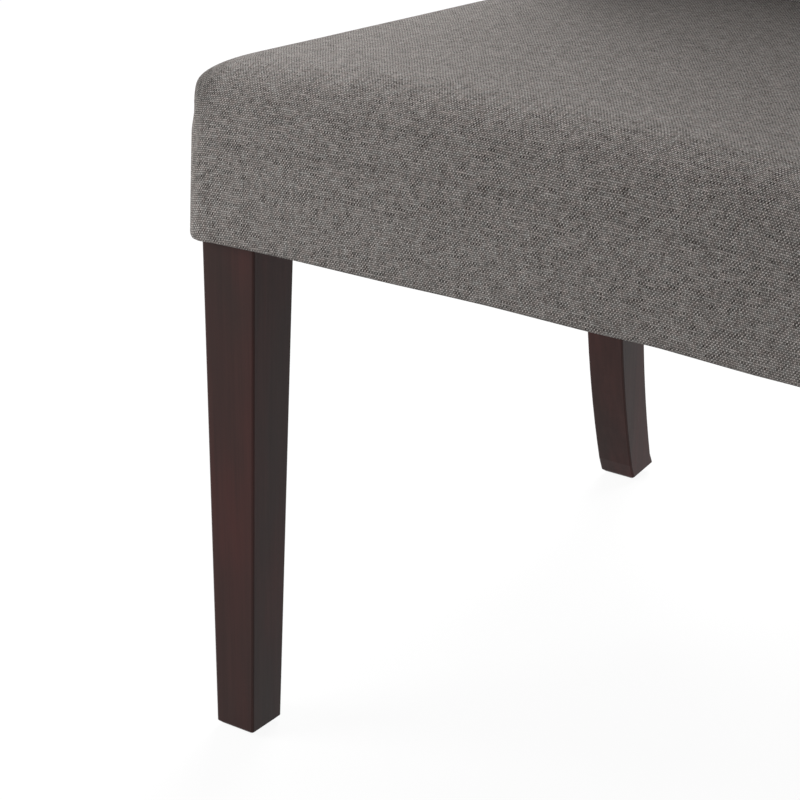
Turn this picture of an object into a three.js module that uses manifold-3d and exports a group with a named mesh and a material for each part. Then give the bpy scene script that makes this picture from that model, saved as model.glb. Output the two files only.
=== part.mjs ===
// A parsons dining chair: a hardwood frame with tapered front legs and swept rear legs,
// upholstered all over above the legs. Millimetres, +Z up, the front of the chair faces -Y,
// and the origin is on the floor under the middle of the chair's outer box.

import * as THREE from 'three';
import { mergeVertices } from 'three/addons/utils/BufferGeometryUtils.js';
import Module from 'manifold-3d';

const wasm = await Module();
wasm.setup();

// Clearances that every piece shares
const fitGap = 0.3;
const softGap = 0.6;
const overrun = 40;

// The chair as it is measured with a tape
const chairWidth = 504;
const chairHeight = 990;
const seatFrameDepth = 481;
const backRakeOffset = 67;

// Upholstery, from the outer face of the wood outwards
const clothThickness = 1.2;
const paddingThickness = 10;
const clothLip = 30;
const dustClothThickness = 0.8;
const dustClothInset = 14;

// Legs and rear posts
const legTopSize = 43;
const footSize = 32;
const rearPostWidth = 36;
const postTopDepth = 30;
const legSweep = 37;
const sweepStartShare = 0.66;
const footHeelLift = 3.5;
const legEdgeRadius = 1.5;
const footChamfer = 2;
const postTopChamfer = 6;

// Seat rails and their joints
const seatUndersideHeight = 366;
const railHeight = 67;
const railThickness = 22;
const deckDropShare = 0.0437;
const tenonThickness = 10;
const tenonShoulder = 9;
const tenonWall = 8;

// Corner blocks and their fasteners
const blockThickness = 32;
const blockHeight = 36;
const blockLift = 5;
const boltRadius = 3;
const boltBite = 18;
const boltHeadAcross = 10;
const boltHeadHeight = 4;
const washerRadius = 8;
const washerThickness = 1.5;
const screwRadius = 2;
const screwHeadRadius = 4;
const screwHeadHeight = 2.6;
const screwInset = 16;
const screwBite = 13;
const screwPoint = 5;

// Seat cushion, on the outer face of its cover, above the rails
const seatPaddingHeight = 42.5;
const seatDropShare = 0.076;
const seatCrown = 11;
const seatFrontRadius = 44;
const seatSideRadius = 12;
const seatCornerRadius = 13.5;
const seatLowerRadius = 3;
const seatDrawIn = 2.2;
const seatStepIn = 1.6;
const seatStepHeight = 12;

// Back, on the outer face of its cover
const backPaddingAtSeat = 50;
const backPaddingAtTop = 38;
const backCrown = 9;
const backCreaseDepth = 20;
const backCreaseRise = 65;
const backFrontRadius = 20;
const backRearRadius = 10;
const backTopRadius = 18;
const backTopCrown = 3;
const rearPanelInset = 16;

// Back frame rails
const backRailThickness = 20;
const crestRailHeight = 60;
const lowerBackRailHeight = 45;
const lowerBackRailLift = 62;
const backTenonThickness = 8;
const backTenonLength = 14;

// Elastic webbing
const webThickness = 1.5;
const seatWebWidth = 50;
const backWebWidth = 40;
const webEndSetback = 3;
const seatWebCount = 3;
const backUprightWebCount = 3;
const backCrossWebCount = 2;

// Tack strips that hold the edges of the outside back
const tackStripWidth = 12;
const tackStripThickness = 1.2;
const tackStripInset = 4;

// Nail-on glides
const glideRadius = 9;
const glideFlatRadius = 4;
const glideRimThickness = 1;
const frontGlideThickness = 2;
const rearGlideThickness = 3.8;
const glideNailRadius = 1.2;
const glideNailLength = 16;

// How finely round things are cut
const roundSides = 12;
const glideSides = 20;
const hexSides = 6;
const cornerSteps = 3;
const sideSteps = 6;
const easedEdgeSteps = 2;
const sweepSteps = 14;
const lowerEdgeSteps = 2;

// Places worked out from the sizes above
const halfWidth = chairWidth / 2;
const chairDepth = 2 * paddingThickness + seatFrameDepth + legTopSize + backRakeOffset;
const clothFrontY = -chairDepth / 2;
const woodFrontY = clothFrontY + paddingThickness;
const woodHalfWidth = halfWidth - paddingThickness;
const postFrontY = woodFrontY + seatFrameDepth;
const railBottomZ = seatUndersideHeight + clothThickness + fitGap;
const railTopZ = railBottomZ + railHeight;
const seatEdgeZ = railTopZ + seatPaddingHeight;
const backRailY = postFrontY + (legTopSize - railThickness) / 2;
const rakeStartZ = deckHeight(backRailY);
const postTopZ = chairHeight - paddingThickness - backTopCrown;
const postTopFrontY = chairDepth / 2 - paddingThickness - postTopDepth;
const rakeAngle = Math.atan2(postTopFrontY - postFrontY, postTopZ - rakeStartZ);
const sweepStartZ = seatUndersideHeight * sweepStartShare;
const tenonLength = legTopSize - (railThickness + tenonThickness) / 2 - tenonWall;
const backRailTenonLength = rearPostWidth - (railThickness + tenonThickness) / 2 - tenonWall;
const webRise = (webThickness + fitGap) / 2;
const webStack = fitGap + webThickness + webRise + fitGap;

// Colours and finishes
const materials = {
  espresso: finish('#3a2a28', 0.38),
  frameWood: finish('#c8a878', 0.7),
  zinc: finish('#b4b4b0', 0.35, 0.9),
  card: finish('#a08a68', 0.9),
  webbing: finish('#2d2b2a', 0.85),
  foam: finish('#e6dcbc', 0.95),
  wadding: finish('#f0eeea', 1),
  cloth: finish('#6f6a67', 0.95),
  dustCloth: finish('#161616', 0.9),
  glide: finish('#2a2826', 0.5),
};

function finish(colour, roughness, metalness = 0) {
  return new THREE.MeshStandardMaterial({ color: colour, roughness, metalness });
}

// The height of the seat deck, the pitched plane along the tops of the rails.
function deckHeight(y) {
  return railTopZ - deckDropShare * (y - woodFrontY);
}

// A three.js geometry as a manifold solid, and back again.
function solid(geometry) {
  const bare = new THREE.BufferGeometry();
  bare.setAttribute('position', geometry.getAttribute('position'));
  if (geometry.index) bare.setIndex(geometry.index);
  const merged = mergeVertices(bare, fitGap / 1000);
  const kept = [];
  for (let i = 0; i < merged.index.count; i += 3) {
    const [a, b, c] = [0, 1, 2].map((corner) => merged.index.getX(i + corner));
    if (a !== b && b !== c && c !== a) kept.push(a, b, c);
  }
  return new wasm.Manifold(new wasm.Mesh({
    numProp: 3,
    vertProperties: new Float32Array(merged.attributes.position.array),
    triVerts: new Uint32Array(kept),
  }));
}

function geometryOf(manifold) {
  const mesh = manifold.getMesh();
  const geometry = new THREE.BufferGeometry();
  geometry.setAttribute('position', new THREE.BufferAttribute(mesh.vertProperties, 3));
  geometry.setIndex(new THREE.BufferAttribute(mesh.triVerts, 1));
  geometry.computeVertexNormals();
  return geometry;
}

// A body drawn in by a clearance on every side, towards its own middle.
function drawnIn(body, clearance) {
  const geometry = geometryOf(body);
  geometry.computeBoundingBox();
  const size = geometry.boundingBox.getSize(new THREE.Vector3());
  const centre = geometry.boundingBox.getCenter(new THREE.Vector3());
  const scales = size.toArray().map((length) => 1 - 2 * clearance / length);
  geometry.translate(-centre.x, -centre.y, -centre.z);
  geometry.scale(...scales);
  return solid(geometry.translate(centre.x, centre.y, centre.z));
}

// A box between two corners.
function box(x0, x1, y0, y1, z0, z1) {
  const geometry = new THREE.BoxGeometry(x1 - x0, y1 - y0, z1 - z0);
  return geometry.translate((x0 + x1) / 2, (y0 + y1) / 2, (z0 + z1) / 2);
}

// An outline of [y, z] points pushed along X from x0 to x1.
function prismAlongX(outline, x0, x1) {
  const shape = new THREE.Shape(outline.map(([y, z]) => new THREE.Vector2(y, z)));
  const geometry = new THREE.ExtrudeGeometry(shape, { depth: x1 - x0, bevelEnabled: false });
  const toFrame = new THREE.Matrix4().makeBasis(
    new THREE.Vector3(0, 1, 0), new THREE.Vector3(0, 0, 1), new THREE.Vector3(1, 0, 0));
  return geometry.applyMatrix4(toFrame).translate(x0, 0, 0);
}

// An outline of [x, y] points pushed up along Z from z0 to z1.
function prismAlongZ(outline, z0, z1) {
  const shape = new THREE.Shape(outline.map(([x, y]) => new THREE.Vector2(x, y)));
  return new THREE.ExtrudeGeometry(shape, { depth: z1 - z0, bevelEnabled: false }).translate(0, 0, z0);
}

// A solid through a stack of rings with as many points each, closed by a point at either end.
// Rings run anticlockwise seen from the end that the stack rises to.
function loft(rings, bottom, top) {
  const points = [bottom, ...rings.flat(), top];
  const count = rings[0].length;
  const at = (ring, i) => 1 + ring * count + (i % count);
  const faces = [];
  for (let i = 0; i < count; i++) {
    faces.push(0, at(0, i + 1), at(0, i));
    for (let ring = 0; ring + 1 < rings.length; ring++) {
      faces.push(at(ring, i), at(ring, i + 1), at(ring + 1, i + 1));
      faces.push(at(ring, i), at(ring + 1, i + 1), at(ring + 1, i));
    }
    faces.push(points.length - 1, at(rings.length - 1, i), at(rings.length - 1, i + 1));
  }
  const geometry = new THREE.BufferGeometry();
  geometry.setAttribute('position', new THREE.Float32BufferAttribute(points.flat(), 3));
  geometry.setIndex(faces);
  return geometry;
}

// The middle of a ring, for closing the end of a loft flat.
function middle(ring) {
  return [0, 1, 2].map((axis) => ring.reduce((sum, point) => sum + point[axis], 0) / ring.length);
}

// A rectangle with rounded corners as [x, y, facing] points, anticlockwise from its front right
// corner; facing is the angle of the outline's outward normal. The front corners (low y) and
// the rear corners may have different radii.
function roundedRectangle(x0, x1, y0, y1, frontRadius, rearRadius, steps, sideCuts) {
  const corners = [
    [x1 - frontRadius, y0 + frontRadius, frontRadius, -Math.PI / 2],
    [x1 - rearRadius, y1 - rearRadius, rearRadius, 0],
    [x0 + rearRadius, y1 - rearRadius, rearRadius, Math.PI / 2],
    [x0 + frontRadius, y0 + frontRadius, frontRadius, Math.PI],
  ];
  const points = [];
  corners.forEach(([cx, cy, radius, start], corner) => {
    for (let i = 0; i <= steps; i++) {
      const angle = start + (i / steps) * Math.PI / 2;
      points.push([cx + radius * Math.cos(angle), cy + radius * Math.sin(angle), angle]);
    }
    const [nx, ny, nextRadius, nextStart] = corners[(corner + 1) % corners.length];
    const from = points[points.length - 1];
    const to = [nx + nextRadius * Math.cos(nextStart), ny + nextRadius * Math.sin(nextStart)];
    for (let i = 1; i < sideCuts; i++) {
      const share = i / sideCuts;
      points.push([from[0] + share * (to[0] - from[0]), from[1] + share * (to[1] - from[1]), from[2]]);
    }
  });
  return points;
}

// A turned solid about Z from [radius, z] points that start and end on the axis.
function turned(profile, sides) {
  const points = profile.map(([radius, z]) => new THREE.Vector2(radius, z));
  return new THREE.LatheGeometry(points, sides).rotateX(Math.PI / 2);
}

// Where a rear post's front face is at a height: swept back to the foot below, raked above.
function postFront(z) {
  const sweep = Math.max(0, 1 - z / sweepStartZ);
  const rake = Math.max(0, z - rakeStartZ) * Math.tan(rakeAngle);
  return postFrontY + legSweep * sweep * sweep + rake;
}

// A rear post's depth at a height: thickest at the seat, thinner at the foot and at the top.
function postDepth(z) {
  if (z < seatUndersideHeight) {
    return footSize + (legTopSize - footSize) * z / seatUndersideHeight;
  }
  const share = Math.max(0, z - rakeStartZ) / (postTopZ - rakeStartZ);
  return legTopSize + (postTopDepth - legTopSize) * share;
}

function postRear(z) {
  return postFront(z) + postDepth(z);
}

// One level of a leg: a rectangle with eased edges, drawn in all round by an inset. The side is
// +1 or -1, and the outer face is the one away from the chair's middle.
function legRing(side, width, front, depth, inset, heightAt) {
  const outer = woodHalfWidth - inset;
  const inner = woodHalfWidth - width + inset;
  const x0 = side > 0 ? inner : -outer;
  const x1 = side > 0 ? outer : -inner;
  const radius = legEdgeRadius;
  const ring = roundedRectangle(x0, x1, front + inset, front + depth - inset, radius, radius,
    easedEdgeSteps, 1);
  return ring.map(([x, y]) => [x, y, heightAt(y)]);
}

// A front leg: a straight stump in the corner of the seat frame, tapered below it on the two
// inner faces only, so that its outer faces stay plumb.
function frontLegBlank(side) {
  const level = (z, size, inset) => legRing(side, size, woodFrontY, size, inset, () => z);
  const footZ = frontGlideThickness + fitGap;
  const rings = [
    level(footZ, footSize, footChamfer),
    level(footZ + footChamfer, footSize, 0),
    level(seatUndersideHeight, legTopSize, 0),
    level(deckHeight(woodFrontY + legTopSize), legTopSize, 0),
  ];
  return solid(loft(rings, middle(rings[0]), middle(rings[rings.length - 1])));
}

// How far a rear glide's lowest point lies below the face it is nailed to, measured plumb, when
// that face is tilted.
function glideReach(tilt) {
  return Math.max(
    rearGlideThickness * Math.cos(tilt) + glideFlatRadius * Math.sin(tilt),
    glideRimThickness * Math.cos(tilt) + glideRadius * Math.sin(tilt),
  );
}

const heelTilt = Math.atan2(footHeelLift, footSize);
const rearGlideZ = glideReach(heelTilt);
const rearFootZ = rearGlideZ + fitGap / Math.cos(heelTilt);

// A rear leg and back post in one piece, sawn from a plank: swept back below the seat, plumb at
// the seat rails and raked above. The foot is cut with its heel lifted. Grown by a clearance, it
// is the room that the padding leaves for it.
function rearPostBlank(side, grow) {
  const footFront = postFront(0);
  const footPlane = (y) => rearFootZ + (y - footFront - footSize / 2) * Math.tan(heelTilt);
  const width = (z) => {
    const share = Math.min(1, z / seatUndersideHeight);
    return footSize + (rearPostWidth - footSize) * share;
  };
  const level = (z, inset) => legRing(side, width(z), postFront(z), postDepth(z), inset - grow, () => z);
  const sweepShares = Array.from({ length: sweepSteps }, (_, step) => (step + 1) / sweepSteps);
  const rings = [
    legRing(side, footSize, footFront, footSize, footChamfer - grow, footPlane),
    legRing(side, footSize, footFront, footSize, -grow, (y) => footPlane(y) + footChamfer),
    ...sweepShares.map((share) => level(share * sweepStartZ, 0)),
    level(seatUndersideHeight, 0),
    level(rakeStartZ, 0),
    level(postTopZ - postTopChamfer, 0),
    level(postTopZ + grow, postTopChamfer),
  ];
  return solid(loft(rings, middle(rings[0]), middle(rings[rings.length - 1])));
}

// The seat rails. Each is a board between its two posts with a tenon on either end; grow makes
// the same tenons larger all round, as the tools that cut their mortises.
const frontTenonX = woodHalfWidth - legTopSize;
const rearTenonX = woodHalfWidth - rearPostWidth;
const sideRailX = woodHalfWidth - railThickness / 2;

function tenonHeights(y, grow) {
  return [railBottomZ + tenonShoulder - grow, deckHeight(y) - tenonShoulder + grow];
}

function crossRailTenon(side, shoulderX, length, railY, grow) {
  const half = tenonThickness / 2 + grow;
  const y = railY + railThickness / 2;
  const [z0, z1] = tenonHeights(railY + railThickness, grow);
  const ends = [side * (shoulderX - overrun), side * (shoulderX + length + grow)];
  return box(Math.min(...ends), Math.max(...ends), y - half, y + half, z0, z1);
}

function crossRail(shoulderX, length, railY) {
  const half = shoulderX - fitGap;
  const outline = [
    [railY, railBottomZ],
    [railY + railThickness, railBottomZ],
    [railY + railThickness, deckHeight(railY + railThickness)],
    [railY, deckHeight(railY)],
  ];
  return [-1, 1].reduce(
    (rail, side) => rail.add(solid(crossRailTenon(side, shoulderX, length, railY, 0))),
    solid(prismAlongX(outline, -half, half)),
  );
}

function sideRailTenon(side, atFront, grow) {
  const half = tenonThickness / 2 + grow;
  const x = side * sideRailX;
  const reach = tenonLength + grow;
  const frontShoulder = woodFrontY + legTopSize;
  const [z0, z1] = tenonHeights(atFront ? frontShoulder + overrun : postFrontY + overrun, grow);
  return atFront
    ? box(x - half, x + half, frontShoulder - reach, frontShoulder + overrun, z0, z1)
    : box(x - half, x + half, postFrontY - overrun, postFrontY + reach, z0, z1);
}

function sideRail(side) {
  const y0 = woodFrontY + legTopSize + fitGap;
  const y1 = postFrontY - fitGap;
  const outline = [[y0, railBottomZ], [y1, railBottomZ], [y1, deckHeight(y1)], [y0, deckHeight(y0)]];
  const half = railThickness / 2;
  const x = side * sideRailX;
  return solid(prismAlongX(outline, x - half, x + half))
    .add(solid(sideRailTenon(side, true, 0)))
    .add(solid(sideRailTenon(side, false, 0)));
}

// The four inside corners of the seat frame. Each has the point where its two rails' inner
// faces would meet, the way into the frame, and how far the leg there stands into the frame.
const corners = [];
for (const side of [-1, 1]) {
  const name = side < 0 ? 'left' : 'right';
  corners.push({
    name: `front_${name}`,
    x: side * (woodHalfWidth - railThickness),
    y: woodFrontY + railThickness,
    inX: -side,
    inY: 1,
    legX: legTopSize - railThickness,
    legY: legTopSize - railThickness,
  });
  corners.push({
    name: `rear_${name}`,
    x: side * (woodHalfWidth - railThickness),
    y: backRailY,
    inX: -side,
    inY: -1,
    legX: rearPostWidth - railThickness,
    legY: backRailY - postFrontY,
  });
}
const blockBottomZ = railBottomZ + blockLift;
const fastenerZ = blockBottomZ + blockHeight / 2;

// How far along either rail a corner block's outer and inner faces run.
function blockReach(corner) {
  const near = corner.legX + corner.legY + fitGap * Math.SQRT2;
  return [near, near + blockThickness * Math.SQRT2];
}

// A corner block: a brace set diagonally behind the leg, mitred to both rails.
function cornerBlock(corner) {
  const [near, far] = blockReach(corner);
  const outline = [[fitGap, near], [fitGap, far], [far, fitGap], [near, fitGap]]
    .map(([p, q]) => [corner.x + corner.inX * p, corner.y + corner.inY * q]);
  return solid(prismAlongZ(outline, blockBottomZ, blockBottomZ + blockHeight));
}

// A fastener is turned about its own Z with its point towards -Z and its head's seat at 0, and
// then driven level through a block's inner face towards the leg, p and q along the two rails.
function driven(corner, p, q) {
  const aim = new THREE.Vector3(-corner.inX, -corner.inY, 0).normalize();
  const turn = new THREE.Quaternion().setFromUnitVectors(new THREE.Vector3(0, 0, -1), aim);
  const at = new THREE.Vector3(corner.x + corner.inX * p, corner.y + corner.inY * q, fastenerZ);
  return new THREE.Matrix4().compose(at, turn, new THREE.Vector3(1, 1, 1));
}

function boltPlace(corner) {
  const [, far] = blockReach(corner);
  const lead = (far - corner.legX - corner.legY) / 2;
  return driven(corner, corner.legX + lead, corner.legY + lead);
}

function screwPlaces(corner) {
  const [, far] = blockReach(corner);
  return [driven(corner, screwInset, far - screwInset), driven(corner, far - screwInset, screwInset)];
}

// A leg bolt with its washer, and the straight hole it runs in.
const boltReach = blockThickness + fitGap + boltBite;

function legBolt() {
  const shank = turned([
    [0, -boltReach],
    [boltRadius, boltRadius - boltReach],
    [boltRadius, fitGap],
    [washerRadius, fitGap],
    [washerRadius, fitGap + washerThickness],
    [0, fitGap + washerThickness],
  ], roundSides);
  const corner = boltHeadAcross / Math.sqrt(3);
  const head = new THREE.CylinderGeometry(corner, corner, boltHeadHeight + washerThickness, hexSides);
  head.rotateX(Math.PI / 2);
  head.translate(0, 0, fitGap + (boltHeadHeight + washerThickness) / 2);
  return solid(shank).add(solid(head));
}

function boltHole() {
  const radius = boltRadius + fitGap;
  return turned([[0, -boltReach - fitGap], [radius, -boltReach - fitGap], [radius, overrun], [0, overrun]],
    roundSides);
}

// A countersunk wood screw, or, grown by the clearance, the hole that it sits in.
const screwReach = (screwInset + screwBite) * Math.SQRT2;

function screwProfile(grow, headTop) {
  return turned([
    [0, -screwReach - grow],
    [screwRadius + grow, screwPoint - screwReach],
    [screwRadius + grow, -screwHeadHeight - grow],
    [screwHeadRadius + grow, 0],
    [screwHeadRadius + grow, headTop],
    [0, headTop],
  ], roundSides);
}

// The frame of the back stands in its own raked frame: z runs up the posts' front faces from
// where the rake begins, and y into the wood.
const backFrame = new THREE.Group();
backFrame.position.set(0, postFrontY, rakeStartZ);
backFrame.rotation.x = -rakeAngle;
backFrame.updateMatrix();
const rakedLength = (postTopZ - rakeStartZ) / Math.cos(rakeAngle);
const crestRailZ = rakedLength - crestRailHeight - backTenonThickness;

function backRailTenon(side, z, height, grow) {
  const half = backTenonThickness / 2 + grow;
  const y = backRailThickness / 2;
  const ends = [side * (rearTenonX - overrun), side * (rearTenonX + backTenonLength + grow)];
  return box(Math.min(...ends), Math.max(...ends), y - half, y + half,
    z + tenonShoulder - grow, z + height - tenonShoulder + grow);
}

function backFrameRail(z, height) {
  const half = rearTenonX - fitGap;
  return [-1, 1].reduce(
    (rail, side) => rail.add(solid(backRailTenon(side, z, height, 0))),
    solid(box(-half, half, 0, backRailThickness, z, z + height)),
  );
}

// Straps of elastic webbing, woven over and under each other. A strap runs along u from u0 to
// u1 at the place v, lies flat on the wood for a bearing at either end, and rises or dips by
// the web rise where it crosses one of the others.
function strap(u0, u1, v, width, bearings, crossings, firstOver) {
  const crossWidth = width;
  const stops = [[u0, 0], [u0 + bearings[0], 0]];
  crossings.forEach((u, i) => {
    const rise = (i % 2 === 0) === firstOver ? webRise : -webRise;
    stops.push([u - crossWidth / 2 - fitGap, rise], [u + crossWidth / 2 + fitGap, rise]);
  });
  stops.push([u1 - bearings[1], 0], [u1, 0]);
  const half = width / 2;
  const rings = stops.map(([u, rise]) => {
    const low = fitGap + rise;
    const high = low + webThickness;
    return [[u, v + half, low], [u, v + half, high], [u, v - half, high], [u, v - half, low]];
  });
  return loft(rings, middle(rings[0]), middle(rings[rings.length - 1]));
}

// The places of straps shared out evenly between two rails.
function spread(from, to, count) {
  return Array.from({ length: count }, (_, i) => from + (to - from) * (i + 1) / (count + 1));
}

// Seat straps lie in a group on the deck, with its z square to the deck.
const deckPitch = Math.atan(deckDropShare);
const seatDeck = new THREE.Group();
seatDeck.position.set(0, woodFrontY, railTopZ);
seatDeck.rotation.x = -deckPitch;
const deckLength = (backRailY + railThickness - woodFrontY) / Math.cos(deckPitch);
const seatBearing = railThickness - webEndSetback + fitGap;
const seatCrossings = spread(railThickness, deckLength - railThickness, seatWebCount);
const seatLanes = spread(-woodHalfWidth + railThickness, woodHalfWidth - railThickness, seatWebCount);

// Back straps lie on the front faces of the posts and back rails.
const backCrossings = spread(lowerBackRailLift + lowerBackRailHeight, crestRailZ, backCrossWebCount);
const backLanes = spread(-rearTenonX, rearTenonX, backUprightWebCount);

// The height of the seat's upper surface, crowned from side to side and lower at the back.
function seatSurface(x, y) {
  return seatEdgeZ + seatCrown * (1 - (x / halfWidth) ** 2) - seatDropShare * (y - woodFrontY);
}

// The radius of the seat's top edge where its outline faces an angle: soft along the front and
// tighter along the sides, blended round the corners, and never less than the padding needs.
const leastRadius = paddingThickness + legEdgeRadius;

function seatEdgeRadius(facing) {
  const frontShare = Math.min(0, Math.sin(facing)) ** 2;
  return Math.max(seatSideRadius, leastRadius) + (seatFrontRadius - seatSideRadius) * frontShare;
}

// The seat's outline drawn in by one inset at either side and another at the front, with its
// corners made rounder by a growth. The rear edge stays at the posts' front faces, inside the back.
function seatOutline(sideInset, frontInset, growth) {
  const x = halfWidth - sideInset;
  const radius = Math.max(seatCornerRadius, leastRadius) + growth;
  return roundedRectangle(-x, x, clothFrontY + frontInset, postFrontY - fitGap, radius, radius,
    cornerSteps, sideSteps);
}

// A ring of the seat's upper part moved in from the cover's face by a depth, square to that
// face: level at the walls and straight down on top. The lean runs from 0 there to 1 here.
function seatRing(outline, lean, depth, heightAt) {
  return outline.map(([x, y, facing]) => {
    const level = depth * Math.sqrt(1 - lean ** 2);
    const z = heightAt(x, y, facing) - depth * lean;
    return [x - level * Math.cos(facing), y - level * Math.sin(facing), z];
  });
}

// The whole seat as one solid at a depth below the face of its cover: a flat underside, a
// small radius, walls that step in where the foam begins above the rails, and a crowned top
// with soft edges. Its corners are rounder the deeper it lies.
function seatBody(depth) {
  const softening = 3 * depth;
  const floorZ = seatUndersideHeight + depth;
  const lowerRadius = Math.max(seatLowerRadius - depth, clothThickness);
  const rings = [];
  for (let i = 0; i <= lowerEdgeSteps; i++) {
    const angle = (i / lowerEdgeSteps) * Math.PI / 2;
    const inset = lowerRadius * (1 - Math.sin(angle));
    const height = floorZ + lowerRadius * (1 - Math.cos(angle));
    rings.push(seatRing(seatOutline(inset, inset, softening), 0, depth, () => height));
  }
  const start = seatDrawIn + seatStepIn;
  const ridgeFoot = (x, y, facing) => seatSurface(x, y) - seatEdgeRadius(facing);
  const stepTop = (x, y, facing) => Math.min(deckHeight(y) + seatStepHeight / 2, ridgeFoot(x, y, facing));
  const wall = [
    [seatDrawIn, (x, y, facing) => stepTop(x, y, facing) - seatStepHeight],
    [start, stepTop],
    [start, ridgeFoot],
  ];
  for (const [drawn, heightAt] of wall) {
    rings.push(seatRing(seatOutline(drawn, drawn, softening), 0, depth, heightAt));
  }
  const sideRadius = seatEdgeRadius(0);
  const edgeShares = [0.05, 0.2, 0.5, 1];
  for (const share of edgeShares) {
    const outline = seatOutline(start + share * sideRadius, start + share * seatFrontRadius,
      softening + share * sideRadius / 2);
    const lean = Math.sqrt(1 - (1 - share) ** 2);
    const heightAt = (x, y, facing) => seatSurface(x, y) - seatEdgeRadius(facing) * (1 - lean);
    rings.push(seatRing(outline, lean, depth, heightAt));
  }
  const side = start + sideRadius;
  const front = start + seatFrontRadius;
  const crownShares = [0.3, 0.6];
  for (const share of crownShares) {
    const sideInset = side + share * (woodHalfWidth - side);
    const frontInset = front + share * (woodHalfWidth - front);
    rings.push(seatRing(seatOutline(sideInset, frontInset, sideInset / 2), 1, depth, seatSurface));
  }
  const topMiddle = middle(rings[rings.length - 1]);
  topMiddle[2] = seatSurface(topMiddle[0], topMiddle[1]) - depth;
  return solid(loft(rings, middle(rings[0]), topMiddle));
}

// Where the inside back comes down onto the seat. Its cover is pulled down between the two, which
// draws the padding in by a crease that comes out again in a soft curve above the seat.
const creaseZ = seatSurface(0, postFrontY - backPaddingAtSeat);

function backCrease(z) {
  const share = Math.min(1, Math.max(0, z - creaseZ) / backCreaseRise);
  return backCreaseDepth * (1 - share) ** 2;
}

// The back's front and rear surfaces at a height, before its crown, on the face of the cover.
function backFrontY(z) {
  const share = Math.max(0, z - rakeStartZ) / (chairHeight - rakeStartZ);
  const padding = backPaddingAtSeat + (backPaddingAtTop - backPaddingAtSeat) * share;
  return postFront(Math.max(z, rakeStartZ)) - padding + backCrease(z);
}

function backRearY(z) {
  return postRear(Math.max(z, rakeStartZ)) + paddingThickness;
}

// One level of the back, with its front pushed out into a crown.
function backRing(z, depth, inset) {
  const x1 = halfWidth - depth - inset;
  const y0 = backFrontY(z) + depth + inset;
  const y1 = backRearY(z) - depth - inset;
  const frontRadius = Math.max(backFrontRadius - depth - inset / 2, seatLowerRadius);
  const rearRadius = Math.max(backRearRadius - depth - inset / 2, clothThickness);
  const ring = roundedRectangle(-x1, x1, y0, y1, frontRadius, rearRadius, cornerSteps, sideSteps);
  const middleZ = (rakeStartZ + chairHeight) / 2;
  const fade = 1 - ((z - middleZ) / (chairHeight - middleZ)) ** 2 / 2;
  return ring.map(([x, y]) => {
    const toFront = Math.max(0, 1 - (y - y0) / frontRadius);
    const crown = backCrown * fade * (1 - (x / x1) ** 2) * toFront;
    return [x, y - crown, z];
  });
}

// The whole back as one solid at a depth below the face of its cover, down to the underside of
// the seat, with a rounded and slightly crowned top.
function backBody(depth) {
  const floorZ = seatUndersideHeight + depth;
  const topZ = chairHeight - backTopCrown - depth;
  const topRadius = backTopRadius - depth;
  const lowerRadius = Math.max(seatLowerRadius - depth, clothThickness);
  const rings = [];
  for (let i = 0; i <= lowerEdgeSteps; i++) {
    const angle = (i / lowerEdgeSteps) * Math.PI / 2;
    const inset = lowerRadius * (1 - Math.sin(angle));
    rings.push(backRing(floorZ + lowerRadius * (1 - Math.cos(angle)), depth, inset));
  }
  const wallTopZ = topZ - topRadius;
  const creaseTopZ = creaseZ + backCreaseRise;
  const creaseShares = [0, 0.15, 0.3, 0.5, 0.7, 1];
  const wallShares = [0.25, 0.5, 0.75, 1];
  rings.push(backRing(rakeStartZ, depth, 0));
  for (const share of creaseShares) {
    rings.push(backRing(creaseZ + (creaseTopZ - creaseZ) * share, depth, 0));
  }
  for (const share of wallShares) {
    rings.push(backRing(creaseTopZ + (wallTopZ - creaseTopZ) * share, depth, 0));
  }
  for (let i = 1; i <= cornerSteps; i++) {
    const angle = (i / cornerSteps) * Math.PI / 2;
    rings.push(backRing(wallTopZ + topRadius * Math.sin(angle), depth, topRadius * (1 - Math.cos(angle))));
  }
  const topMiddle = middle(rings[rings.length - 1]);
  topMiddle[2] = topZ + backTopCrown;
  return solid(loft(rings, middle(rings[0]), topMiddle));
}

// Everything inside the seat's wadding, open downwards: what the padding wraps.
function seatCore() {
  const depth = paddingThickness - fitGap;
  const x = halfWidth - depth;
  const outline = roundedRectangle(-x, x, clothFrontY + depth, postFrontY - fitGap,
    legEdgeRadius, legEdgeRadius, easedEdgeSteps, 1);
  return seatBody(depth).add(solid(prismAlongZ(outline, -overrun, railTopZ + fitGap)));
}

function backCore() {
  const depth = paddingThickness - fitGap;
  const low = box(-halfWidth + depth, halfWidth - depth, backFrontY(0) - overrun, backRearY(0) - depth,
    -overrun, railTopZ);
  return backBody(depth).add(solid(low));
}

// The space that the seat frame and its webbing take up under the back, from just above the
// covers' lips to the top of the webbing. The back's cover and padding stop there.
function frameSpace() {
  const low = railBottomZ - fitGap;
  const high = (y) => deckHeight(y) + webStack / Math.cos(deckPitch);
  const y0 = clothFrontY - overrun;
  const y1 = postFrontY + legTopSize + fitGap;
  const x = woodHalfWidth + fitGap;
  return solid(prismAlongX([[y0, low], [y1, low], [y1, high(y1)], [y0, high(y0)]], -x, x));
}

// What the covers' lips and the dust cloth are cut out for: each leg where it leaves the seat.
function legPassage(side, atFront) {
  const width = (atFront ? legTopSize : rearPostWidth) + fitGap;
  const outer = woodHalfWidth + fitGap;
  const x0 = side > 0 ? outer - width - fitGap : -outer;
  const y0 = (atFront ? woodFrontY : postFrontY) - fitGap;
  return solid(box(x0, x0 + width + fitGap, y0, y0 + legTopSize + 2 * fitGap, 0, railBottomZ));
}

function withoutLegs(piece) {
  return [-1, 1].reduce(
    (rest, side) => rest.subtract(legPassage(side, true)).subtract(legPassage(side, false)),
    piece,
  );
}

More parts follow.
